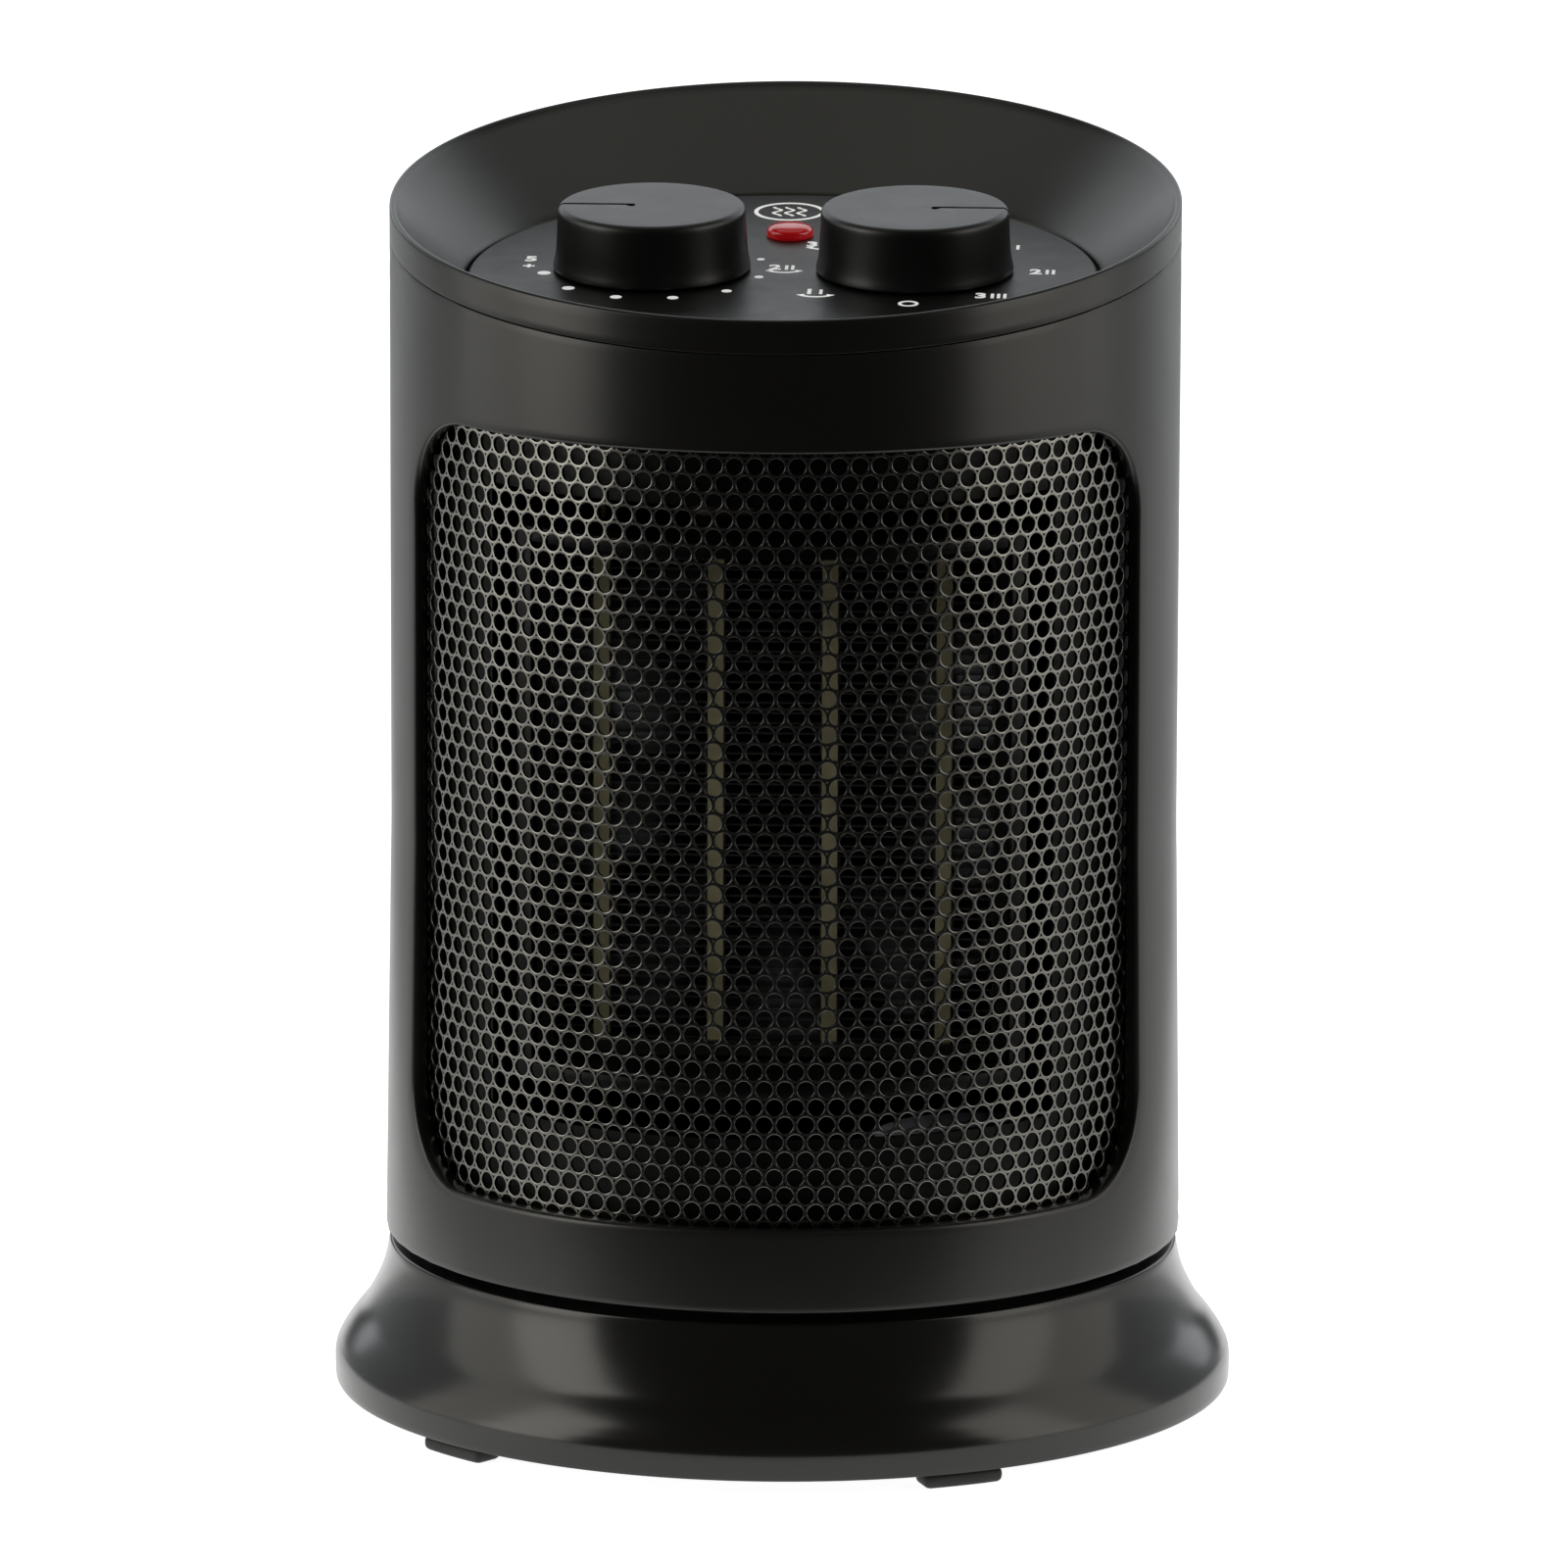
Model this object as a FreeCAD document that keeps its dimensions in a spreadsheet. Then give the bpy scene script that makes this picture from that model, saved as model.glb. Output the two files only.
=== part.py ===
import FreeCAD, Part
import Sketcher
import math
import os

# Oscillating ceramic space heater.
# Row frame: millimetres, +Z up, origin at the bottom centre of the feet.
# The casing's front faces -Y. Azimuths are measured from -Y towards +X.

V = FreeCAD.Vector
Rot = FreeCAD.Rotation
Pla = FreeCAD.Placement
X, Y, Z = V(1, 0, 0), V(0, 1, 0), V(0, 0, 1)

doc = FreeCAD.newDocument("space_heater")
sheet = doc.addObject("Spreadsheet::Sheet", "Dims")

DIMS = [
    ("body_r", 77.0), ("wall", 2.5), ("body_bottom", 33.8),
    ("flare_r", 78.2), ("flare_top", 118.0),
    ("seam_height", 231.2), ("rim_height", 237.8), ("rim_slope", 0.155),
    ("seam_azimuth", 100.0),
    ("panel_r", 61.1), ("panel_height", 225.7), ("panel_slope", 0.10),
    ("panel_centre_y", -11.0), ("panel_thick", 2.5),
    ("knob_r", 18.4), ("knob_flange_r", 19.2), ("knob_top", 12.8),
    ("knob_x", 25.5), ("knob_y", 2.5), ("shaft_r", 3.0),
    ("lens_r", 4.65), ("lens_y", 29.1),
    ("open_low", 49.7), ("open_high", 200.2), ("open_azimuth", 65.5),
    ("open_corner", 19.0),
    ("grille_r", 74.3), ("grille_thick", 0.8), ("grille_azimuth", 71.5),
    ("grille_low", 46.5), ("grille_high", 203.5),
    ("hole_pitch", 4.0), ("hole_r", 1.7),
    ("core_z", 127.5), ("core_w", 91.0), ("core_tall", 101.0),
    ("core_front", -46.5), ("core_back", -25.0), ("strip_w", 3.0),
    ("base_turn", -9.2), ("base_top", 31.5), ("base_r", 88.4),
    ("crease_z", 8.6), ("foot_z", 3.0), ("foot_r_in", 80.0),
    ("foot_r_out", 86.8), ("foot_angle", 11.0),
    ("hub_r", 10.6), ("hub_clear", 0.05), ("hub_bore_r", 6.0),
    ("gear_module", 1.25), ("gear_teeth", 36), ("pinion_teeth", 12),
    ("gear_bottom", 24.5), ("gear_top", 29.5),
    ("fan_r", 47.0), ("fan_hub_r", 15.0), ("fan_front", -12.0),
    ("fan_back", 4.0), ("motor_shaft_r", 2.0),
    ("gland_z", 13.0), ("gland_r", 6.0), ("gland_bore_r", 3.6),
    ("gland_out", 88.2), ("gland_in", 74.0),
    ("plunger_r", 3.0), ("plunger_rest", 0.3), ("tip_radius", 64.0),
]
VAL = {}
for row, (alias, value) in enumerate(DIMS, start=1):
    sheet.set("A%d" % row, alias)
    sheet.set("B%d" % row, repr(value))
    sheet.setAlias("B%d" % row, alias)
    VAL[alias] = float(value)
doc.recompute()


class Q:
    """A number that also carries the sheet expression it came from."""

    def __init__(self, v, e):
        self.v, self.e = float(v), e

    @staticmethod
    def of(o):
        return o if isinstance(o, Q) else Q(o, "%.9g" % o if o >= 0 else "(0 - %.9g)" % -o)

    def _op(self, o, s, f):
        o = Q.of(o)
        return Q(f(self.v, o.v), "(%s %s %s)" % (self.e, s, o.e))

    def _rop(self, o, s, f):
        return Q.of(o)._op(self, s, f)

    def __add__(self, o): return self._op(o, "+", lambda a, b: a + b)
    def __sub__(self, o): return self._op(o, "-", lambda a, b: a - b)
    def __mul__(self, o): return self._op(o, "*", lambda a, b: a * b)
    def __truediv__(self, o): return self._op(o, "/", lambda a, b: a / b)
    def __radd__(self, o): return self._rop(o, "+", lambda a, b: a + b)
    def __rsub__(self, o): return self._rop(o, "-", lambda a, b: a - b)
    def __rmul__(self, o): return self._rop(o, "*", lambda a, b: a * b)
    def __neg__(self): return Q(-self.v, "(0 - %s)" % self.e)


def D(alias):
    return Q(VAL[alias], "Dims." + alias)


def val(x):
    return x.v if isinstance(x, Q) else float(x)


def bind(o, prop, x):
    if isinstance(x, Q):
        o.setExpression(prop, x.e)
    elif "." in prop:
        raise ValueError(prop)
    else:
        setattr(o, prop, x)


count = [0]


def new(kind, label=None):
    count[0] += 1
    o = doc.addObject(kind, label or "Piece%03d" % count[0])
    if label:
        o.Label = label
    return o


def put(o, x=0, y=0, z=0, rot=None):
    o.Placement = Pla(V(val(x), val(y), val(z)), rot or Rot())
    for axis, c in zip("xyz", (x, y, z)):
        if isinstance(c, Q):
            o.setExpression("Placement.Base." + axis, c.e)
    return o


TO_Y = Rot(X, -90)        # local Z to +Y
TO_X = Rot(Y, 90)         # local Z to +X


def cyl(r, tall, x=0, y=0, z=0, rot=None, label=None):
    o = new("Part::Cylinder", label)
    bind(o, "Radius", r)
    bind(o, "Height", tall)
    return put(o, x, y, z, rot)


def cone(r1, r2, tall, x=0, y=0, z=0, rot=None, label=None):
    o = new("Part::Cone", label)
    bind(o, "Radius1", r1)
    bind(o, "Radius2", r2)
    bind(o, "Height", tall)
    return put(o, x, y, z, rot)


def box(x0, x1, y0, y1, z0, z1, label=None, rot=None):
    o = new("Part::Box", label)
    for p, a, b in (("Length", x0, x1), ("Width", y0, y1), ("Height", z0, z1)):
        bind(o, p, Q.of(b) - a if isinstance(a, Q) or isinstance(b, Q) else b - a)
    return put(o, x0, y0, z0, rot)


def sector(r, a0, a1, z0, z1, label=None):
    """Wedge of a cylinder about Z between two azimuths."""
    o = new("Part::Cylinder", label)
    bind(o, "Radius", r)
    bind(o, "Angle", Q.of(a1) - a0)
    bind(o, "Height", Q.of(z1) - z0)
    return put(o, 0, 0, z0, Rot(Z, val(a0) - 90))


def cut(base, tools, label=None):
    tools = tools if isinstance(tools, (list, tuple)) else [tools]
    tool = tools[0] if len(tools) == 1 else fuse(tools)
    o = new("Part::Cut", label)
    o.Base, o.Tool = base, tool
    return o


def fuse(shapes, label=None):
    o = new("Part::MultiFuse", label)
    o.Shapes = list(shapes)
    return o


def common(shapes, label=None):
    o = new("Part::MultiCommon", label)
    o.Shapes = list(shapes)
    return o


def group(shapes, label):
    """Identical separate pieces kept as one node."""
    o = new("Part::Compound", label)
    o.Links = list(shapes)
    return o


def origin_plane(body, role):
    for f in body.Origin.OriginFeatures:
        if f.Role == role:
            return f
    raise ValueError(role)


def profile(body, role, pts, name):
    """Closed sketch. Each point is (u, v) or (u, v, (mu, mv)), where the last
    pair is a point on the arc from this point to the next one."""
    sk = body.newObject("Sketcher::SketchObject", name)
    sk.AttachmentSupport = (origin_plane(body, role), "")
    sk.MapMode = "FlatFace"
    n = len(pts)
    ends = [(val(p[0]), val(p[1])) for p in pts]
    side = []                       # which end of each edge is its first point
    for i, p in enumerate(pts):
        a, b = ends[i], ends[(i + 1) % n]
        if len(p) > 2:
            mid = p[2]
            turn = (mid[0] - a[0]) * (b[1] - a[1]) - (mid[1] - a[1]) * (b[0] - a[0])
            lo, hi = (a, b) if turn > 0 else (b, a)
            c = Part.Circle(V(lo[0], lo[1], 0), V(mid[0], mid[1], 0), V(hi[0], hi[1], 0))
            centre, rad = c.Center, c.Radius
            t0 = math.atan2(lo[1] - centre.y, lo[0] - centre.x)
            t1 = math.atan2(hi[1] - centre.y, hi[0] - centre.x)
            if t1 < t0:
                t1 += 2 * math.pi
            circle = Part.Circle(V(centre.x, centre.y, 0), Z, rad)
            sk.addGeometry(Part.ArcOfCircle(circle, t0, t1), False)
            side.append((1, 2) if turn > 0 else (2, 1))
        else:
            sk.addGeometry(Part.LineSegment(V(a[0], a[1], 0), V(b[0], b[1], 0)), False)
            side.append((1, 2))
    cons, bound = [], []
    for i in range(n):
        j = (i + 1) % n
        cons.append(Sketcher.Constraint("Coincident", i, side[i][1], j, side[j][0]))
    for i, p in enumerate(pts):
        for kind, c in (("DistanceX", p[0]), ("DistanceY", p[1])):
            if isinstance(c, Q):
                bound.append((len(cons), c.e))
            cons.append(Sketcher.Constraint(kind, -1, 1, i, side[i][0], val(c)))
        if len(p) > 2:
            cons.append(Sketcher.Constraint("Radius", i, sk.Geometry[i].Radius))
    sk.addConstraint(cons)
    for k, e in bound:
        sk.setExpression("Constraints[%d]" % k, e)
    return sk


def revolved(label, pts):
    body = doc.addObject("PartDesign::Body", label)
    body.Label = label
    sk = profile(body, "XZ_Plane", pts, label + "_profile")
    rev = body.newObject("PartDesign::Revolution", label + "_turn")
    rev.Profile = sk
    rev.ReferenceAxis = (sk, ["V_Axis"])
    rev.Angle = 360
    body.Tip = rev
    return body


def padded(label, role, pts, length, midplane=False):
    body = doc.addObject("PartDesign::Body", label)
    body.Label = label
    sk = profile(body, role, pts, label + "_profile")
    pad = body.newObject("PartDesign::Pad", label + "_pad")
    pad.Profile = sk
    bind(pad, "Length", length)
    if midplane:
        pad.Midplane = True
    body.Tip = pad
    return body


def raw(label, shape, place=None):
    o = new("Part::Feature", label)
    o.Shape = shape
    if place is not None:
        o.Placement = place
    return o


NODES = []


def node(o, label, place=None):
    o.Label = label
    if place is not None:
        o.Placement = place.multiply(o.Placement)
    NODES.append(o)
    return o


def at_azimuth(a, r):
    t = math.radians(a)
    return r * math.sin(t), -r * math.cos(t)


# Local frame of the sunk control panel: origin at the panel's centre on its
# upper face, local +Z along the panel's normal, local +Y up the slope.
PY = VAL["panel_centre_y"]
PANEL = Pla(V(0, PY, VAL["panel_height"] + VAL["panel_slope"] * PY),
            Rot(X, math.degrees(math.atan(VAL["panel_slope"]))))
# The base is turned against the casing, as it stands at rest.
BASE = Pla(V(0, 0, 0), Rot(Z, VAL["base_turn"]))
BASE_TURN = VAL["base_turn"]

# ------------------------------------------------------------------ base
# Flared skirt, near-vertical band at its foot, and a round well in the top
# for the turntable's gears.
base_skin = revolved("base_skin", [
    (11.0, 20.0), (54.6, 20.0), (54.6, D("base_top") - 2.6), (73.6, D("base_top") - 2.6),
    (75.0, 24.5), (81.2, 14.0), (85.6, 8.0), (85.6, D("foot_z")),
    (D("base_r") - 0.15, D("foot_z")),
    (D("base_r"), D("crease_z"), (87.15, 12.15)),
    (84.6, 15.0, (80.0, 22.4)),
    (77.8, D("base_top") - 0.6), (77.2, D("base_top")),
    (52.0, D("base_top")), (52.0, 22.5), (11.0, 22.5),
])
boss_at = [at_azimuth(a, 66.0) for a in (0, 72, 144, 216, 288)]
bosses = [cyl(4.0, D("base_top") - 1.5 - 6.3, x, y, 6.3) for x, y in boss_at]
boss_bores = [cyl(1.55, 14.0, x, y, 5.0) for x, y in boss_at]
gland_hole = cyl(D("gland_r") + 0.05, 22.0, 0, 70.0, D("gland_z"), TO_Y)
node(cut(fuse([base_skin] + bosses), boss_bores + [gland_hole]), "base_cover", BASE)

plate_disc = revolved("plate_disc", [
    (12.0, D("foot_z")), (85.3, D("foot_z")), (85.3, 6.0), (12.0, 6.0)])
plate_holes = []
for x, y in boss_at:
    plate_holes += [cyl(1.8, 6.0, x, y, 1.0), cyl(3.3, 2.8, x, y, 2.0)]
tip_x, tip_y = at_azimuth(36.0, VAL["tip_radius"])
plate_holes.append(cyl(D("plunger_r") + 0.4, 8.0, tip_x, tip_y, 0.0))
node(cut(plate_disc, plate_holes), "base_plate", BASE)

feet = []
for a in (36, 108, 180, 252, 324):
    half = D("foot_angle") / 2
    outer = sector(D("foot_r_out"), a - half, a + half, 0.0, D("foot_z"))
    feet.append(cut(outer, cyl(D("foot_r_in"), 5.0, 0, 0, -1.0)))
node(group(feet, "rubber_feet"), "rubber_feet", BASE)

ballast = cut(sector(58.0, 72, 288, 6.0, 12.0), cyl(24.0, 10.0, 0, 0, 5.0))
node(ballast, "ballast_weight", BASE)

ring = revolved("turntable_ring", [
    (56.0, D("base_top")), (60.0, D("base_top")), (60.0, D("body_bottom") - 0.3),
    (56.0, D("body_bottom") - 0.3)])
node(ring, "turntable_ring", BASE)

hub = revolved("pivot_hub", [
    (D("hub_bore_r"), 17.5), (18.0, 17.5), (18.0, 20.0), (D("hub_r"), 20.0),
    (D("hub_r"), 42.6), (D("hub_r") - 0.6, 43.2), (D("hub_bore_r"), 43.2)])
node(hub, "pivot_hub", BASE)

retainer = revolved("hub_retainer", [
    (D("hub_r"), 40.4), (14.6, 40.4), (14.6, 42.4), (D("hub_r"), 42.4)])
node(retainer, "hub_retainer", BASE)


def gear_outline(teeth, module, turn, thin):
    """Stub-tooth involute gear outline, closed wire in the XY plane."""
    pitch = module * teeth / 2
    base = pitch * math.cos(math.radians(20))
    tip = pitch + 0.8 * module
    root = pitch - 1.05 * module

    def inv_at(r):
        if r <= base:
            return 0.0
        a = math.acos(base / r)
        return math.tan(a) - a

    half0 = math.pi / (2 * teeth) - thin / (2 * pitch) + inv_at(pitch)
    pts = []
    for k in range(teeth):
        mid = 2 * math.pi * k / teeth + turn
        radii = [root] + [max(root, base) + (tip - max(root, base)) * i / 4.0 for i in range(5)]
        flank = [(r, half0 - inv_at(r)) for r in radii]
        for r, t in flank:
            pts.append(V(r * math.cos(mid - t), r * math.sin(mid - t), 0))
        for r, t in reversed(flank):
            pts.append(V(r * math.cos(mid + t), r * math.sin(mid + t), 0))
    return Part.makePolygon(pts + [pts[0]])


def gear_solid(teeth, module, turn, thin, bottom, top):
    face = Part.Face(gear_outline(teeth, module, turn, thin))
    solid = face.extrude(V(0, 0, top - bottom))
    solid.translate(V(0, 0, bottom))
    return solid


gb, gt = VAL["gear_bottom"], VAL["gear_top"]
gm = VAL["gear_module"]
n_gear, n_pin = int(VAL["gear_teeth"]), int(VAL["pinion_teeth"])
gear_a = gm * (n_gear + n_pin) / 2
# A tooth of the fixed gear points along +X in the row frame, at the pinion.
gear_shape = gear_solid(n_gear, gm, 0.0, 0.16, gb, gt)
gear_shape = gear_shape.fuse(Part.makeCylinder(15.0, gb - 22.5, V(0, 0, 22.5)))
gear_shape = gear_shape.cut(Part.makeCylinder(VAL["hub_r"], 20, V(0, 0, 20))).removeSplitter()
node(raw("fixed_gear", gear_shape), "fixed_gear")

# Tip-over switch: plunger, spring, bracket and snap switch over it.
tip_turn = Rot(Z, 36.0 + BASE_TURN)
TIP = Pla(V(*at_azimuth(36.0 + BASE_TURN, VAL["tip_radius"]), 0), tip_turn)
plunger = revolved("tip_plunger", [
    (0.0, D("plunger_rest")), (D("plunger_r") - 0.8, D("plunger_rest")),
    (D("plunger_r"), D("plunger_rest") + 0.8), (D("plunger_r"), 10.3), (5.0, 10.3), (5.0, 11.5),
    (D("plunger_r"), 11.5), (D("plunger_r"), 19.0), (0.0, 19.0)])
node(plunger, "tip_plunger", TIP)

legs = [box(-12.2, -11.0, -6.0, 6.0, 6.0, 18.0), box(11.0, 12.2, -6.0, 6.0, 6.0, 18.0)]
shelf = box(-12.2, 12.2, -6.0, 6.0, 17.0, 18.2)
bracket = cut(fuse(legs + [shelf]), cyl(D("plunger_r") + 0.4, 4.0, 0, 0, 16.0))
node(bracket, "tip_bracket", TIP)

switch_block = box(-10.0, 10.0, -3.2, 3.2, 20.6, 27.6)
switch_legs = [box(-9.0, -6.0, -3.0, 3.0, 18.2, 20.7), box(6.0, 9.0, -3.0, 3.0, 18.2, 20.7)]
switch_tabs = [box(-9.4, -8.8, 3.1, 7.0, 22.0, 25.0), box(-0.3, 0.3, 3.1, 7.0, 22.0, 25.0),
               box(8.8, 9.4, 3.1, 7.0, 22.0, 25.0)]
node(fuse([switch_block] + switch_legs + switch_tabs), "tip_switch", TIP)

helix = Part.makeHelix(1.15, 4.6, 4.15)
helix.translate(V(0, 0, 11.9))
facets = [V(4.15 + 0.348 * math.cos(math.radians(45 * k + 22.5)), 0,
            11.9 + 0.348 * math.sin(math.radians(45 * k + 22.5))) for k in range(8)]
wire_profile = Part.Wire(Part.makePolygon(facets + [facets[0]]))
pipe = Part.BRepOffsetAPI.MakePipeShell(Part.Wire(helix.Edges))
pipe.setFrenetMode(True)
pipe.add(wire_profile)
pipe.build()
pipe.makeSolid()
node(raw("plunger_spring", pipe.shape()), "plunger_spring", TIP)

gland_body = fuse([
    cyl(D("gland_r"), D("gland_out") - D("gland_in"), 0, D("gland_in"), D("gland_z"), TO_Y),
    cyl(D("gland_r") + 0.7, 2.0, 0, D("gland_in"), D("gland_z"), TO_Y)])
node(cut(gland_body, cyl(D("gland_bore_r"), 30.0, 0, 65.0, D("gland_z"), TO_Y)),
     "cord_gland", BASE)

screws = []
for x, y in boss_at:
    head = cyl(3.0, 1.6, x, y, 3.2)
    slot = box(x - 3.2, x + 3.2, y - 0.4, y + 0.4, 3.0, 3.8)
    screws.append(fuse([cut(head, slot), cyl(1.5, 12.2, x, y, 4.8)]))
node(group(screws, "base_screws"), "base_screws", BASE)

# --------------------------------------------------------------- casing
inner_r = D("body_r") - D("wall")


def above(height, slope, offset, top=300.0):
    """Big block over the plane z = height + slope*y + offset."""
    hh, ss = VAL[height] + offset, VAL[slope]
    o = new("Part::Box")
    o.Length, o.Width, o.Height = 260, 260, top - 150
    o.Placement = Pla(V(0, 0, hh), Rot(X, math.degrees(math.atan(ss)))).multiply(
        Pla(V(-130, -130, 0), Rot()))
    return o


def flare(a0, a1):
    """Slight outward taper at the foot of the casing, between two azimuths."""
    o = new("Part::Cone")
    bind(o, "Radius1", D("flare_r"))
    bind(o, "Radius2", D("body_r"))
    bind(o, "Height", D("flare_top") - D("body_bottom"))
    bind(o, "Angle", Q.of(a1) - a0)
    return put(o, 0, 0, D("body_bottom"), Rot(Z, val(a0) - 90))


shell_out = fuse([
    sector(D("body_r"), -D("seam_azimuth"), D("seam_azimuth"), D("body_bottom"), 250.0),
    flare(-D("seam_azimuth"), D("seam_azimuth"))])
shell_in = cyl(inner_r, 260.0, 0, 0, 20.0)
front_bosses = [cyl(4.5, 9.0, *at_azimuth(a, 70.2), z=36.3) for a in (-80, 80)]
side_bosses = [box(x0, x1, -5.0, 12.8, zz - 4.5, zz + 4.5)
               for x0, x1 in ((-76.0, -61.5), (61.5, 76.0)) for zz in (58.0, 208.0)]

zl, zh, oc = D("open_low"), D("open_high"), D("open_corner")
corner_deg = math.degrees(math.asin(VAL["open_corner"] / VAL["body_r"]))
oa = D("open_azimuth")
opening = [sector(90.0, -oa, oa, zl + oc, zh - oc),
           sector(90.0, -(oa - corner_deg), oa - corner_deg, zl, zh)]
for s in (-1, 1):
    a = s * (VAL["open_azimuth"] - corner_deg)
    t = math.radians(a)
    d = V(math.sin(t), -math.cos(t), 0)
    for c in (zl + oc, zh - oc):
        c1 = cyl(oc, 50.0, d.x * 45.0, d.y * 45.0, c, Rot(Z, d))
        opening.append(c1)
open_tool = cut(fuse(opening), cyl(60.0, 220.0, 0, 0, 20.0))
front_shell = cut(shell_out, [shell_in, open_tool, above("seam_height", "rim_slope", 0.0)])
boss_lands = common([fuse(front_bosses + side_bosses), cyl(76.0, 260.0, 0, 0, 10.0)])
front_bores = [cyl(1.5, 14.0, *at_azimuth(a, 70.2), z=33.0) for a in (-80, 80)]
front_bores += [cyl(1.5, 16.0, s * 66.2, -2.0, zz, TO_Y) for s in (-1, 1) for zz in (58.0, 208.0)]
node(cut(fuse([front_shell, boss_lands]), front_bores), "front_housing")

rear_out = fuse([
    sector(D("body_r"), D("seam_azimuth") + 0.15, 359.85 - D("seam_azimuth"),
           D("body_bottom"), 250.0),
    flare(D("seam_azimuth") + 0.15, 359.85 - D("seam_azimuth"))])
slots = []
for row_i in range(15):
    zz = 85.0 + row_i * 6.0
    for k in range(5):
        a = 180 + (k - 2) * 14.0
        slots.append(sector(90.0, a - 5.4, a + 5.4, zz, zz + 3.0))
slot_tool = cut(fuse(slots), cyl(60.0, 220.0, 0, 0, 20.0))
rear_shell = cut(rear_out, [shell_in, slot_tool, above("seam_height", "rim_slope", 0.0)])
rear_bosses = [box(x0, x1, 13.9, 35.0, zz - 4.5, zz + 4.5)
               for x0, x1 in ((-76.0, -61.5), (61.5, 76.0)) for zz in (58.0, 208.0)]
rear_bosses += [cyl(4.5, 9.0, *at_azimuth(a, 70.2), z=36.3) for a in (145, 215)]
rear_lands = common([fuse(rear_bosses), cyl(76.0, 260.0, 0, 0, 10.0)])
rear_bores = [cyl(1.5, 14.0, *at_azimuth(a, 70.2), z=33.0) for a in (145, 215)]
for s in (-1, 1):
    for zz in (58.0, 208.0):
        rear_bores += [cyl(1.8, 30.0, s * 66.2, 12.0, zz, TO_Y),
                       cyl(3.4, 30.0, s * 66.2, 30.0, zz, TO_Y)]
node(cut(fuse([rear_shell, rear_lands]), rear_bores), "rear_housing")

housing_screws = []
for s in (-1, 1):
    for zz in (58.0, 208.0):
        head = cyl(3.1, 2.2, s * 66.2, 30.0, zz, TO_Y)
        slot = box(s * 66.2 - 3.3, s * 66.2 + 3.3, 31.4, 33.0, zz - 0.45, zz + 0.45)
        housing_screws.append(fuse([cut(head, slot), cyl(1.4, 30.0, s * 66.2, 0.5, zz, TO_Y)]))
node(group(housing_screws, "housing_screws"), "housing_screws")

# Top ring: slanted band, funnel down to the panel, and the ledge under it.
band = cut(cut(cyl(D("body_r"), 90.0, 0, 0, 190.0), above("rim_height", "rim_slope", 0.0)),
           cut(cyl(120.0, 160.0, 0, 0, 100.0), above("seam_height", "rim_slope", 0.1)))
spigot = cut(cyl(inner_r - 0.2, 90.0, 0, 0, 190.0), above("seam_height", "rim_slope", 2.0))
spigot = cut(spigot, cut(cyl(120.0, 160.0, 0, 0, 100.0),
                         above("panel_height", "panel_slope", -6.0)))


def tilted_circle(r, cy, height, slope):
    """Circle as seen from above, lying on the plane z = height + slope*y."""
    n = V(0, -slope, 1)
    n.normalize()
    c = Part.Circle(V(0, cy, height + slope * cy), n, r)
    return Part.Wire(c.toShape())


rim_wire = tilted_circle(76.4, 0.0, VAL["rim_height"] + 0.01, VAL["rim_slope"])
floor_wire = tilted_circle(VAL["panel_r"] + 0.9, PY, VAL["panel_height"] - 0.2,
                           VAL["panel_slope"])
funnel = raw("funnel_space", Part.makeLoft([rim_wire, floor_wire], True, True))
pocket = cyl(D("panel_r") + 0.5, 5.0, 0, 0, 0)
pocket.Placement = PANEL.multiply(Pla(V(0, 0, -VAL["panel_thick"] - 0.1), Rot()))
through = cyl(57.5, 30.0, 0, 0, 0)
through.Placement = PANEL.multiply(Pla(V(0, 0, -20), Rot()))
node(cut(fuse([band, spigot]), [funnel, pocket, through]), "top_ring")

# --------------------------------------------------- control panel group
panel_disc = revolved("panel_disc", [
    (0.0, -D("panel_thick")), (D("panel_r"), -D("panel_thick")),
    (D("panel_r"), -0.5), (D("panel_r") - 0.5, 0.0), (0.0, 0.0)])
kx, ky = D("knob_x"), D("knob_y")
panel_cuts = [cyl(4.6, 10.0, -kx, ky, -5.0), cyl(4.6, 10.0, kx, ky, -5.0),
              cyl(D("lens_r") - 0.25, 10.0, 0, D("lens_y"), -5.0)]
node(cut(panel_disc, panel_cuts), "control_panel", PANEL)

lens = revolved("indicator_lens", [
    (0.0, -5.0), (D("lens_r") - 0.35, -5.0), (D("lens_r") - 0.35, 0.0), (D("lens_r"), 0.0),
    (D("lens_r"), 0.9, (4.2, 1.85)), (3.2, 2.3), (0.0, 2.3)])
node(lens, "indicator_lens", PANEL.multiply(Pla(V(0, VAL["lens_y"], 0), Rot())))

lamp = revolved("neon_lamp", [
    (0.0, -16.0), (1.4, -16.0), (2.6, -14.5), (2.6, -8.0), (1.6, -6.0), (0.0, -5.4)])
node(lamp, "neon_lamp", PANEL.multiply(Pla(V(0, VAL["lens_y"], 0), Rot())))

KL = PANEL.multiply(Pla(V(-VAL["knob_x"], VAL["knob_y"], 0), Rot()))
KR = PANEL.multiply(Pla(V(VAL["knob_x"], VAL["knob_y"], 0), Rot()))

thermo = cut(fuse([cyl(14.0, 13.0, 0, 0, -16.0), cyl(4.5, 5.5, 0, 0, -3.2),
                   box(-15.5, 15.5, -4.0, 4.0, -14.0, -12.8),
                   box(-13.0, -12.2, -3.1, 3.1, -24.0, -15.0),
                   box(12.2, 13.0, -3.1, 3.1, -24.0, -15.0)]),
             cyl(D("shaft_r") + 0.05, 14.0, 0, 0, -11.0))
node(thermo, "thermostat_body", KL)

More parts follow.
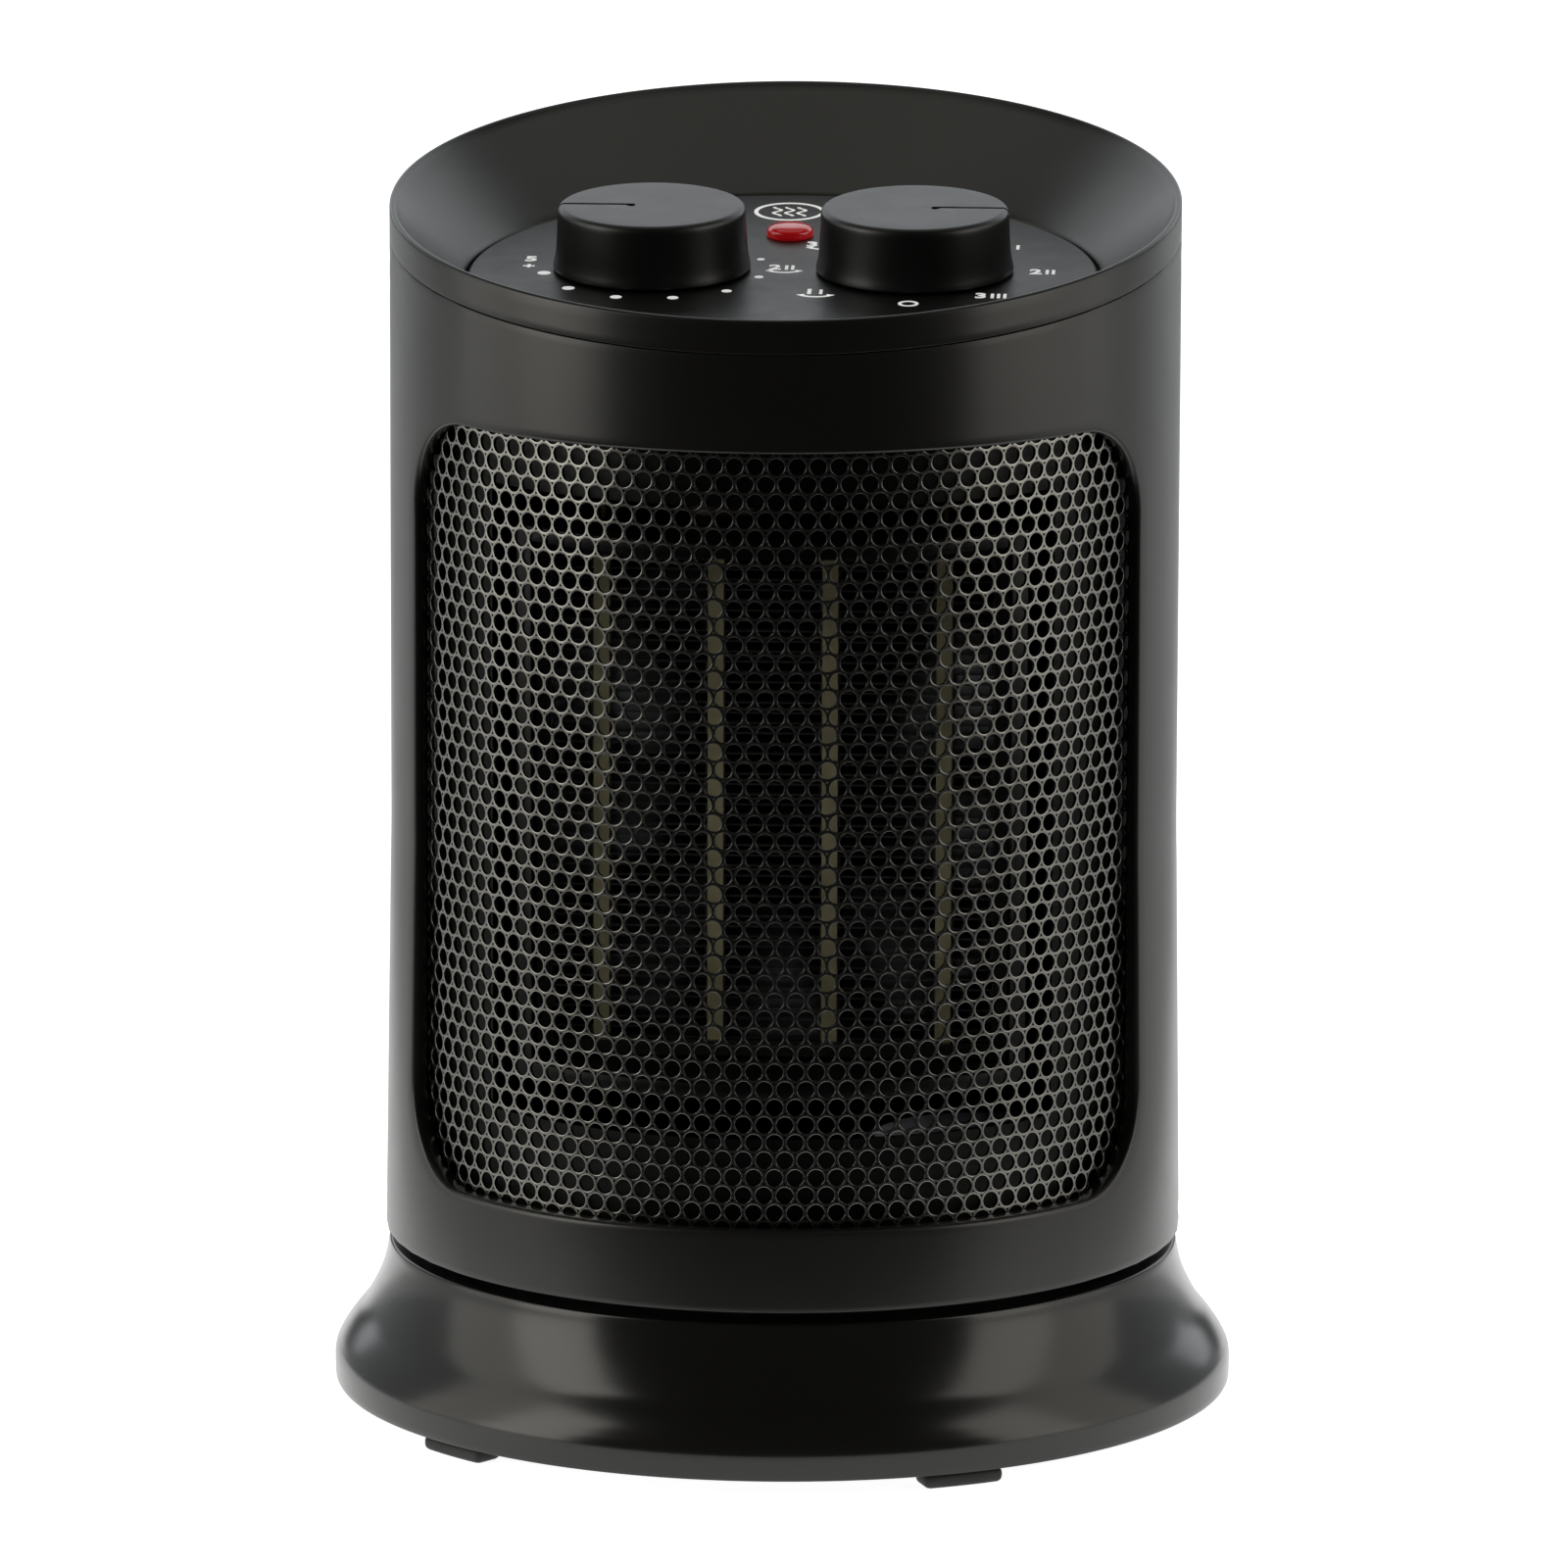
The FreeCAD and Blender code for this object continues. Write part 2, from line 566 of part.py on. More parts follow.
tabs = [box(-12.0 + 8.0 * i, -11.2 + 8.0 * i, -3.1, 3.1, -25.0, -16.9) for i in range(4)]
mode_sw = cut(fuse([box(-15.0, 15.0, -12.0, 12.0, -17.0, -3.2), cyl(4.5, 5.5, 0, 0, -3.3)] + tabs),
              cyl(D("shaft_r") + 0.05, 14.0, 0, 0, -11.0))
node(mode_sw, "mode_switch_body", KR)

nuts = []
for s in (-1, 1):
    prism = new("Part::Prism")
    prism.Polygon = 6
    prism.Circumradius = 7.4
    prism.Height = 1.9
    put(prism, s * kx, ky, 0.1)
    nuts.append(cut(prism, cyl(4.55, 6.0, s * kx, ky, -2.0)))
node(group(nuts, "switch_nuts"), "switch_nuts", PANEL)


def knob(label, side):
    k = revolved(label + "_turned", [
        (D("shaft_r"), 3.0), (5.6, 3.0), (5.6, 9.6), (15.6, 9.6), (15.6, 0.45),
        (D("knob_flange_r"), 0.45), (D("knob_flange_r"), 1.35),
        (D("knob_r"), 2.1), (D("knob_r") - 0.25, D("knob_top") - 1.0, (17.86, 12.5)),
        (D("knob_r") - 1.25, D("knob_top")), (0.0, D("knob_top")), (0.0, 10.4),
        (D("shaft_r"), 10.4)])
    if side < 0:
        groove = box(-20.0, -3.7, -0.45, 0.45, D("knob_top") - 0.7, D("knob_top") + 1)
    else:
        groove = box(3.7, 20.0, -0.45, 0.45, D("knob_top") - 0.7, D("knob_top") + 1)
    return cut(k, groove)


node(knob("thermostat_knob", -1), "thermostat_knob", KL)
node(knob("mode_knob", 1), "mode_knob", KR)
for label, place in (("thermostat_shaft", KL), ("mode_shaft", KR)):
    rod = revolved(label, [
        (0.0, -10.6), (D("shaft_r"), -10.6), (D("shaft_r"), 10.0), (D("shaft_r") - 0.4, 10.4),
        (0.0, 10.4)])
    node(rod, label, place)

# ---------------------------------------------------------------- grille
ga = D("grille_azimuth")
g_out, g_in = D("grille_r"), D("grille_r") - D("grille_thick")
node(cut(sector(g_out, -ga, ga, D("grille_low"), D("grille_high")),
         cyl(g_in, 220.0, 0, 0, 20.0)), "front_grille")

# Curved dark plate behind the grille, open in front of the element.
cz = D("core_z")
hw, ht = D("core_w") / 2, D("core_tall") / 2
bez = cut(sector(70.5, -70, 70, 45.0, 205.0), cyl(69.2, 220.0, 0, 0, 20.0))
node(cut(bez, box(-(hw + 8.5), hw + 8.5, -80.0, -20.0, cz - ht - 11.0, cz + ht + 11.0)),
     "outlet_bezel")

duct_out = common([box(-(hw + 3.5), hw + 3.5, -74.0, -16.0, cz - ht - 3.5, cz + ht + 3.5),
                   cyl(69.0, 220.0, 0, 0, 20.0)])
duct_flange = box(-58.0, 58.0, -16.0, -14.0, cz - 58.0, cz + 58.0)
duct_slots = [box(x - 1.2, x + 1.2, -41.0, -33.0, cz + ht - 2, cz + ht + 6) for x in (-33, 11, 33)]
node(cut(fuse([duct_out, duct_flange]),
         [box(-(hw + 0.5), hw + 0.5, -80.0, -18.0, cz - ht - 0.5, cz + ht + 0.5),
          cyl(D("fan_r") + 2.5, 10.0, 0, -20.0, cz, TO_Y)] + duct_slots), "air_duct")

# ------------------------------------------------- ceramic heating element
cf, cb = D("core_front"), D("core_back")
node(cut(box(-hw, hw, cf, cb, cz - ht, cz + ht),
         box(-(hw - 3), hw - 3, cf - 1, cb + 1, cz - ht + 3, cz + ht - 3)), "ptc_frame")

strip_x = (-33.0, -11.0, 11.0, 33.0)
sw = VAL["strip_w"] / 2
strips = [box(x - D("strip_w") / 2, x + D("strip_w") / 2, cf + 1.0, cb - 1.5,
              cz - ht + 3.05, cz + ht - 3.05) for x in strip_x]
node(group(strips, "ptc_ceramic_strips"), "ptc_ceramic_strips")


def corrugated(x0, x1, z0, z1, y0, y1, pitch, thick):
    """Serpentine fin strip: level runs joined by short bends at its sides."""
    runs = int((z1 - z0 - thick) / pitch) + 1
    left, right = [], []
    up, down = [], []
    pts_a, pts_b = [], []
    for i in range(runs):
        za = z0 + i * pitch
        if i % 2 == 0:
            pts_a += [(x0, za), (x1, za)] if i == 0 else [(x0 + thick, za), (x1, za)]
            pts_b += [(x0, za + thick), (x1 - thick, za + thick)] if i < runs - 1 else \
                [(x0, za + thick), (x1, za + thick)]
        else:
            pts_a += [(x1, za + thick), (x0 + thick, za + thick)] if i < runs - 1 else \
                [(x1, za + thick), (x0, za + thick)]
            pts_b += [(x1 - thick, za), (x0, za)]
    pts = pts_a + pts_b[::-1]
    clean = []
    for p in pts:
        if not clean or math.hypot(p[0] - clean[-1][0], p[1] - clean[-1][1]) > 1e-6:
            clean.append(p)
    poly = Part.makePolygon([V(p[0], y0, p[1]) for p in clean] + [V(clean[0][0], y0, clean[0][1])])
    return Part.Face(poly).extrude(V(0, y1 - y0, 0))


fin_solids = []
edges_x = [-(VAL["core_w"] / 2 - 3)] + [v for x in strip_x for v in (x - sw, x + sw)] + \
    [VAL["core_w"] / 2 - 3]
for i in range(0, len(edges_x), 2):
    fin_solids.append(corrugated(
        edges_x[i] + 0.1, edges_x[i + 1] - 0.1,
        VAL["core_z"] - VAL["core_tall"] / 2 + 3.2, VAL["core_z"] + VAL["core_tall"] / 2 - 3.2,
        VAL["core_front"] + 1.6, VAL["core_back"] - 1.5, 2.0, 0.35))
node(raw("ptc_fins", Part.makeCompound(fin_solids)), "ptc_fins")

top_z = cz + ht
terms = [cut(box(x - 0.4, x + 0.4, -40.1, -33.8, top_z, top_z + 14.0),
             cyl(0.9, 4.0, x - 2.0, -37.0, top_z + 11.0, TO_X)) for x in (-33, 11, 33)]
node(group(terms, "ptc_terminals"), "ptc_terminals")

cutout = fuse([cyl(8.0, 6.5, -10.0, -30.0, top_z + 3.5), box(-22.0, 2.0, -33.0, -27.0,
                                                            top_z + 3.5, top_z + 4.3),
               box(-13.0, -12.2, -33.1, -26.9, top_z + 9.5, top_z + 15.0),
               box(-7.8, -7.0, -33.1, -26.9, top_z + 9.5, top_z + 15.0)])
node(cutout, "thermal_cutout")
fuse_can = fuse([cyl(2.0, 11.0, 18.0, -28.0, top_z + 5.5, TO_X),
                 cyl(0.5, 19.0, 14.0, -28.0, top_z + 5.5, TO_X)])
node(fuse_can, "thermal_fuse")

# --------------------------------------------------------- fan and motor
fr, fh = D("fan_r"), D("fan_hub_r")
ff, fb = D("fan_front"), D("fan_back")
hub_body = cyl(fh, fb - ff, 0, ff, cz, TO_Y)
blades = []
for i in range(9):
    ang = 40.0 * i
    b = new("Part::Box")
    b.Length, b.Width, b.Height = 1.4, 19.0, 40.0
    b.Placement = Pla(V(0, (VAL["fan_front"] + VAL["fan_back"]) / 2, VAL["core_z"]),
                      Rot(Y, ang)).multiply(Pla(V(0, 0, 13.0), Rot(Z, 42.0))).multiply(
                          Pla(V(-0.7, -9.5, 0), Rot()))
    blades.append(b)
blade_space = cyl(fr, fb - ff - 1.0, 0, ff + 0.5, cz, TO_Y)
blade_set = common([fuse(blades), blade_space])
fan_hollow = cyl(fh - 2.0, 11.0, 0, ff + 3.0, cz, TO_Y)
fan_boss = cyl(5.0, 12.0, 0, ff + 2.0, cz, TO_Y)
node(cut(fuse([cut(hub_body, fan_hollow), fan_boss, blade_set]),
         cyl(D("motor_shaft_r"), 30.0, 0, -20.0, cz, TO_Y)), "fan_impeller")

node(cyl(D("motor_shaft_r"), 57.0, 0, -13.0, cz, TO_Y), "motor_shaft")
rotor = cut(fuse([cyl(12.4, 18.0, 0, 15.5, cz, TO_Y), cyl(10.5, 20.5, 0, 14.3, cz, TO_Y)]),
            cyl(D("motor_shaft_r"), 40.0, 0, 5.0, cz, TO_Y))
node(rotor, "motor_rotor")

shroud = [cut(cyl(51.5, 20.0, 0, -14.0, cz, TO_Y), cyl(fr + 2.0, 30.0, 0, -20.0, cz, TO_Y)),
          cut(cyl(26.0, 2.2, 0, 5.8, cz, TO_Y), cyl(11.0, 8.0, 0, 2.0, cz, TO_Y))]
for ang in (45, 135, 225, 315):
    arm = new("Part::Box")
    arm.Length, arm.Width, arm.Height = 5.0, 2.2, 27.5
    arm.Placement = Pla(V(0, 5.8, VAL["core_z"]), Rot(Y, ang)).multiply(Pla(V(-2.5, 0, 24.0), Rot()))
    shroud.append(arm)
shroud_ring = cut(fuse(shroud + [cut(cyl(51.5, 2.2, 0, 5.8, cz, TO_Y),
                                     cyl(49.0, 6.0, 0, 4.0, cz, TO_Y))]),
                  [cyl(2.0, 10.0, x, 2.0, cz, TO_Y) for x in (-18, 18)])
node(shroud_ring, "fan_shroud")

stator = cut(box(-23.0, 23.0, 15.5, 33.5, cz - 21.0, cz + 42.0),
             [cyl(12.9, 30.0, 0, 10.0, cz, TO_Y), box(-14.5, 14.5, 10.0, 40.0, cz + 19.0, cz + 33.0)]
             + [cyl(2.0, 30.0, x, 10.0, cz, TO_Y) for x in (-18, 18)])
node(stator, "motor_stator")
coil = cut(box(-13.8, 13.8, 9.5, 39.5, cz + 21.0, cz + 54.0),
           box(-20.0, 20.0, 15.2, 33.8, cz + 32.8, cz + 42.2))
node(coil, "motor_coil")


def motor_bracket(y0, y1):
    plate = fuse([box(-22.0, 22.0, y0, y1, cz - 9.0, cz + 9.0), cyl(12.0, y1 - y0, 0, y0, cz, TO_Y)])
    return cut(plate, [cyl(5.0, 10.0, 0, y0 - 3, cz, TO_Y)] +
               [cyl(2.0, 10.0, x, y0 - 3, cz, TO_Y) for x in (-18, 18)])


node(fuse([motor_bracket(11.0, 12.6)]
          + [cut(cyl(3.6, 3.0, x, 8.1, cz, TO_Y), cyl(2.0, 8.0, x, 6.0, cz, TO_Y)) for x in (-18, 18)]
          + [cut(cyl(3.6, 2.8, x, 12.6, cz, TO_Y), cyl(2.0, 8.0, x, 10.0, cz, TO_Y)) for x in (-18, 18)]),
     "motor_bracket_front")
node(fuse([motor_bracket(36.6, 38.2)]
          + [cut(cyl(3.6, 3.0, x, 33.6, cz, TO_Y), cyl(2.0, 8.0, x, 30.0, cz, TO_Y)) for x in (-18, 18)]),
     "motor_bracket_rear")
bushes = [cut(cyl(5.0, 4.0, 0, y0, cz, TO_Y), cyl(D("motor_shaft_r") + 0.03, 12.0, 0, y0 - 4, cz, TO_Y))
          for y0 in (9.8, 35.4)]
node(group(bushes, "motor_bearings"), "motor_bearings")
m_screws = [fuse([cyl(1.8, 33.0, x, 5.9, cz, TO_Y), cyl(3.4, 2.2, x, 38.2, cz, TO_Y)])
            for x in (-18, 18)]
node(group(m_screws, "motor_screws"), "motor_screws")

# -------------------------------------------- turntable floor and drive
floor_disc = revolved("floor_disc", [
    (D("hub_r") + D("hub_clear"), D("body_bottom")), (inner_r - 0.2, D("body_bottom")),
    (inner_r - 0.2, D("body_bottom") + 2.5), (16.0, D("body_bottom") + 2.5), (16.0, 40.0),
    (D("hub_r") + D("hub_clear"), 40.0)])
floor_at = [at_azimuth(a, 70.2) for a in (-80, 80, 145, 215)]
floor_cuts = [cyl(1.8, 8.0, x, y, 31.0) for x, y in floor_at]
floor_cuts += [cyl(3.3, 1.2, x, y, 33.4) for x, y in floor_at]
floor_cuts.append(cyl(4.0, 8.0, gear_a, 0, 31.0))
node(cut(floor_disc, floor_cuts), "housing_floor")
f_screws = [fuse([cyl(3.0, 0.7, x, y, 33.9), cyl(1.45, 9.8, x, y, 34.3)]) for x, y in floor_at]
node(group(f_screws, "floor_screws"), "floor_screws")

motor_can = cut(fuse([cyl(20.0, 15.0, gear_a + 8.0, 0, 36.4), box(50.0, 60.0, -8.0, 8.0, 38.0, 46.0)]),
                cyl(2.55, 9.0, gear_a, 0, 36.0))
node(motor_can, "osc_motor")

# Pinion on the motor's shaft; a gap of the pinion faces the gear's tooth.
pin = gear_solid(n_pin, gm, math.pi + math.pi / n_pin, 0.16, gb, gt)
pin = pin.fuse(Part.makeCylinder(2.5, 44.5 - gb + 0.3, V(0, 0, gb - 0.3))).removeSplitter()
node(raw("osc_pinion", pin, Pla(V(gear_a, 0, 0), Rot())), "osc_pinion")

block = cut(box(-20.0, 20.0, -60.0, -46.0, 36.4, 47.0),
            [cyl(1.6, 8.0, x, y, 41.0) for x in (-14, -5, 5, 14) for y in (-56, -50)])
node(block, "terminal_block")

doc.recompute()

# ---------------------------------------------------------------- writing
for o in doc.Objects:
    bad = [s for s in o.State if s in ("Invalid", "Error")]
    if bad:
        raise RuntimeError("%s (%s) is %s" % (o.Name, o.Label, bad))

os.makedirs("parts", exist_ok=True)
for f in os.listdir("parts"):
    if f.endswith(".step"):
        os.remove(os.path.join("parts", f))
seen = set()
for o in NODES:
    shape = o.Shape
    if o.Label in seen:
        raise RuntimeError("two nodes are called " + o.Label)
    seen.add(o.Label)
    if shape.isNull() or not shape.isValid() or not shape.Solids:
        raise RuntimeError(o.Label + " has no valid solid")
    shape.exportStep("parts/%s.step" % o.Label)
    b = shape.BoundBox
    print("%-20s solids %3d faces %4d vol %10.1f  x %7.1f %7.1f y %7.1f %7.1f z %7.1f %7.1f" % (
        o.Label, len(shape.Solids), len(shape.Faces), shape.Volume,
        b.XMin, b.XMax, b.YMin, b.YMax, b.ZMin, b.ZMax))
print(len(NODES), "nodes")
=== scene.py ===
import math

import bmesh
import bpy
import numpy as np
from mathutils import Matrix, Vector


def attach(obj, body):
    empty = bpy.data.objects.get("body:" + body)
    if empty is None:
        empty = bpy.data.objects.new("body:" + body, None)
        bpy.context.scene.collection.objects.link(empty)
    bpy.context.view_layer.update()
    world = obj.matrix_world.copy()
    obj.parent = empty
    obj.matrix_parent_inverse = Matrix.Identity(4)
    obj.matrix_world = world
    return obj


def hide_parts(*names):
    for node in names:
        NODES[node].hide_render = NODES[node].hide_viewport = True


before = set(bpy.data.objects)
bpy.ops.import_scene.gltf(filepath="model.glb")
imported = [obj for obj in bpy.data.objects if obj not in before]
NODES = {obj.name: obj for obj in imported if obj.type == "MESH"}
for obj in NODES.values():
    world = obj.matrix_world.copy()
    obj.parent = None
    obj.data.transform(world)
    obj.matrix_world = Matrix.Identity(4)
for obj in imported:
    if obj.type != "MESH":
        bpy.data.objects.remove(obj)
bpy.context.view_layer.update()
MM = 0.001

# ---------------------------------------------------------------- dimensions
R = 77.0                      # casing radius, mm
SEAM, RIM, SLOPE = 231.2, 237.8, 0.155
PSLOPE, PHEIGHT, PCY, PR = 0.10, 225.7, -11.0, 61.1
OPEN_LO, OPEN_HI, OPEN_AZ = 49.7, 200.2, 65.5
TURN = math.radians(-9.2)


def seam_z(y):
    return SEAM + SLOPE * y


def taper(z):
    """Extra radius of the casing toward its foot."""
    t = (118.0 - z) / 84.2
    return 0.0 if t <= 0 else 1.2 * t if t > 0.12 else 1.2 * (t * t / 0.24 + 0.06 * (t / 0.12) ** 2)


def rim_z(y):
    return RIM + SLOPE * y


P_ANG = math.atan(PSLOPE)
PANEL = Matrix.Translation((0, PCY * MM, (PHEIGHT + PSLOPE * PCY) * MM)) @ Matrix.Rotation(P_ANG, 4, "X")


# ------------------------------------------------------------------- helpers
def build(name, verts, faces, mat=None, smooth=True, scale=MM):
    me = bpy.data.meshes.new(name)
    v = np.asarray(verts, float) * scale
    me.from_pydata(v.tolist(), [], [list(map(int, f)) for f in faces])
    me.validate()
    me.update()
    bm = bmesh.new()
    bm.from_mesh(me)
    bmesh.ops.recalc_face_normals(bm, faces=bm.faces[:])
    bm.to_mesh(me)
    bm.free()
    if smooth:
        me.shade_smooth()
    o = bpy.data.objects.new(name, me)
    bpy.context.scene.collection.objects.link(o)
    if mat is not None:
        me.materials.append(mat)
    return o


def sharpen(o, degrees=38.0):
    me = o.data
    bm = bmesh.new()
    bm.from_mesh(me)
    lim = math.radians(degrees)
    for e in bm.edges:
        e.smooth = not (len(e.link_faces) == 2 and e.calc_face_angle(0.0) > lim)
    bm.to_mesh(me)
    bm.free()
    return o


def rings_to_faces(nr, nt, closed_t=True, closed_r=False, start=0):
    """Quads between nr rings of nt points each."""
    faces = []
    for r in range(nr if closed_r else nr - 1):
        a, b = start + r * nt, start + ((r + 1) % nr) * nt
        for k in range(nt if closed_t else nt - 1):
            j = (k + 1) % nt
            faces.append((a + k, a + j, b + j, b + k))
    return faces


def lathe(name, profile, mat, segs=160, matrix=None, cap=True):
    """Turned piece about local Z. A profile point on the axis closes the end."""
    verts, faces, rows = [], [], []
    for r, z in profile:
        if r < 1e-6:
            rows.append([len(verts)])
            verts.append((0, 0, z))
        else:
            rows.append(list(range(len(verts), len(verts) + segs)))
            for k in range(segs):
                t = 2 * math.pi * k / segs
                verts.append((r * math.cos(t), r * math.sin(t), z))
    for a, b in zip(rows, rows[1:]):
        for k in range(segs):
            j = (k + 1) % segs
            if len(a) == 1 and len(b) > 1:
                faces.append((a[0], b[k], b[j]))
            elif len(b) == 1 and len(a) > 1:
                faces.append((a[k], a[j], b[0]))
            elif len(a) > 1:
                faces.append((a[k], a[j], b[j], b[k]))
    o = build(name, verts, faces, mat)
    if matrix is not None:
        o.data.transform(matrix)
    return o


def arc(cx, cy, r, a0, a1, n):
    """Points on a circle from angle a0 to a1 in degrees."""
    return [(cx + r * math.cos(math.radians(a0 + (a1 - a0) * i / n)),
             cy + r * math.sin(math.radians(a0 + (a1 - a0) * i / n))) for i in range(n + 1)]


def boolean(o, cutter, op="DIFFERENCE"):
    m = o.modifiers.new("cut", "BOOLEAN")
    m.object, m.operation, m.solver = cutter, op, "EXACT"
    dg = bpy.context.evaluated_depsgraph_get()
    me = bpy.data.meshes.new_from_object(o.evaluated_get(dg))
    o.modifiers.clear()
    old = o.data
    o.data = me
    bpy.data.meshes.remove(old)
    bpy.data.objects.remove(cutter)
    return o


def apply_modifiers(o):
    dg = bpy.context.evaluated_depsgraph_get()
    me = bpy.data.meshes.new_from_object(o.evaluated_get(dg))
    o.modifiers.clear()
    old = o.data
    o.data = me
    bpy.data.meshes.remove(old)
    return o


# ----------------------------------------------------------------- materials
def material(name, color, rough, rough_var=0.06, rough_scale=180.0, bump=0.15, bump_scale=900.0,
             bump_dist=0.00004, metallic=0.0, ior=1.5, coat=0.0, coat_rough=0.2, var=0.10, var_scale=22.0,
             wear=0.0, wear_color=None, anis=None, streak=None, spec=0.5, dust=0.0,
             transmission=0.0, emission=None, emission_strength=0.0, stretch=(1, 1, 1)):
    """Layered procedural finish: tone variation, roughness variation, a fine
    moulded grain in the bump, and paler worn edges."""
    m = bpy.data.materials.new(name)
    m.use_nodes = True
    nt = m.node_tree
    nt.nodes.clear()
    out = nt.nodes.new("ShaderNodeOutputMaterial")
    p = nt.nodes.new("ShaderNodeBsdfPrincipled")
    nt.links.new(p.outputs["BSDF"], out.inputs["Surface"])
    tc = nt.nodes.new("ShaderNodeTexCoord")
    mp = nt.nodes.new("ShaderNodeMapping")
    mp.inputs["Scale"].default_value = stretch
    nt.links.new(tc.outputs["Object"], mp.inputs["Vector"])
    co = mp.outputs["Vector"]
    p.inputs["IOR"].default_value = ior
    p.inputs["Metallic"].default_value = metallic
    p.inputs["Specular IOR Level"].default_value = spec
    if coat:
        p.inputs["Coat Weight"].default_value = coat
        p.inputs["Coat Roughness"].default_value = coat_rough
    if transmission:
        p.inputs["Transmission Weight"].default_value = transmission
    if emission is not None:
        p.inputs["Emission Color"].default_value = (*emission, 1)
        p.inputs["Emission Strength"].default_value = emission_strength

    def noise(scale, detail=4.0, rough=0.55, vec=co):
        n = nt.nodes.new("ShaderNodeTexNoise")
        n.inputs["Scale"].default_value = scale
        n.inputs["Detail"].default_value = detail
        n.inputs["Roughness"].default_value = rough
        nt.links.new(vec, n.inputs["Vector"])
        return n.outputs["Fac"]

    def ramp(fac, lo, hi):
        r = nt.nodes.new("ShaderNodeMapRange")
        r.inputs["From Min"].default_value = 0.3
        r.inputs["From Max"].default_value = 0.7
        r.inputs["To Min"].default_value = lo
        r.inputs["To Max"].default_value = hi
        nt.links.new(fac, r.inputs["Value"])
        return r.outputs["Result"]

    # tone
    mix = nt.nodes.new("ShaderNodeMix")
    mix.data_type = "RGBA"
    mix.inputs["A"].default_value = (*[c * (1 - var) for c in color], 1)
    mix.inputs["B"].default_value = (*[min(1, c * (1 + var)) for c in color], 1)
    nt.links.new(ramp(noise(var_scale), 0, 1), mix.inputs["Factor"])
    col = mix.outputs["Result"]
    if wear > 0:
        geo = nt.nodes.new("ShaderNodeNewGeometry")
        r = nt.nodes.new("ShaderNodeMapRange")
        r.inputs["From Min"].default_value = 0.53
        r.inputs["From Max"].default_value = 0.62
        nt.links.new(geo.outputs["Pointiness"], r.inputs["Value"])
        mul = nt.nodes.new("ShaderNodeMath")
        mul.operation = "MULTIPLY"
        nt.links.new(r.outputs["Result"], mul.inputs[0])
        nt.links.new(ramp(noise(300.0, 6.0), 0.1 * wear, wear), mul.inputs[1])
        mw = nt.nodes.new("ShaderNodeMix")
        mw.data_type = "RGBA"
        wc = wear_color or [min(1, c * 2.2 + 0.02) for c in color]
        mw.inputs["B"].default_value = (*wc, 1)
        nt.links.new(col, mw.inputs["A"])
        nt.links.new(mul.outputs[0], mw.inputs["Factor"])
        col = mw.outputs["Result"]
    if dust > 0:
        geo = nt.nodes.new("ShaderNodeNewGeometry")
        sep = nt.nodes.new("ShaderNodeSeparateXYZ")
        nt.links.new(geo.outputs["Normal"], sep.inputs["Vector"])
        r = nt.nodes.new("ShaderNodeMapRange")
        r.inputs["From Min"].default_value = 0.5
        r.inputs["From Max"].default_value = 1.0
        nt.links.new(sep.outputs["Z"], r.inputs["Value"])
        mul = nt.nodes.new("ShaderNodeMath")
        mul.operation = "MULTIPLY"
        nt.links.new(r.outputs["Result"], mul.inputs[0])
        nt.links.new(ramp(noise(700.0, 8.0, 0.7), 0.0, dust), mul.inputs[1])
        md = nt.nodes.new("ShaderNodeMix")
        md.data_type = "RGBA"
        md.inputs["B"].default_value = (0.35, 0.34, 0.33, 1)
        nt.links.new(col, md.inputs["A"])
        nt.links.new(mul.outputs[0], md.inputs["Factor"])
        col = md.outputs["Result"]
    nt.links.new(col, p.inputs["Base Color"])
    # roughness
    rr = ramp(noise(rough_scale, 5.0), max(0.02, rough - rough_var), min(1.0, rough + rough_var))
    nt.links.new(rr, p.inputs["Roughness"])
    # grain
    if bump > 0:
        b = nt.nodes.new("ShaderNodeBump")
        b.inputs["Strength"].default_value = bump
        b.inputs["Distance"].default_value = bump_dist
        h = noise(bump_scale, 3.0, 0.6)
        if streak:
            w = nt.nodes.new("ShaderNodeTexWave")
            w.bands_direction = streak[0]
            w.inputs["Scale"].default_value = streak[1]
            w.inputs["Distortion"].default_value = 0.3
            nt.links.new(co, w.inputs["Vector"])
            add = nt.nodes.new("ShaderNodeMath")
            add.operation = "ADD"
            nt.links.new(h, add.inputs[0])
            nt.links.new(w.outputs["Fac"], add.inputs[1])
            h = add.outputs[0]
        nt.links.new(h, b.inputs["Height"])
        nt.links.new(b.outputs["Normal"], p.inputs["Normal"])
    return m


M = {}
M["casing"] = material("casing_satin_black", (0.0100, 0.0096, 0.0086), 0.29, 0.015, 60, 0.05, 2600, 0.00001,
                       wear=0.06, var=0.08)
# funnel face of the rim moulding: the casing's plastic painted paler, as painted light falling into the funnel
M["funnel"] = material("funnel_paler_painted_light", (0.0240, 0.0238, 0.0205), 0.31, 0.02, 60, 0.08, 2600, 0.00001,
                        var=0.06)
M["base"] = material("base_gloss_black", (0.0065, 0.0063, 0.0055), 0.20, 0.012, 50, 0.02, 2600, 0.00001,
                     wear=0.05, var=0.08)
M["panel"] = material("panel_fine_matt", (0.0045, 0.0045, 0.0045), 0.40, 0.03, 160, 0.22, 3600, 0.00002,
                      var=0.08)
M["knob"] = material("knob_satin", (0.0045, 0.0046, 0.0047), 0.37, 0.02, 140, 0.10, 3200, 0.00002,
                     wear=0.1, var=0.08)
# red lens with a faint emission of its own: painted glow, since the neon lamp behind it gives no light
M["lens"] = material("lens_red_painted_glow", (0.62, 0.006, 0.012), 0.13, 0.02, 60, 0.0, coat=0.5, coat_rough=0.06,
                     var=0.12, transmission=0.15, emission=(0.75, 0.008, 0.014), emission_strength=0.16)
M["lamp"] = material("lamp_glass", (0.85, 0.55, 0.40), 0.12, 0.04, 120, 0.02, transmission=0.7)
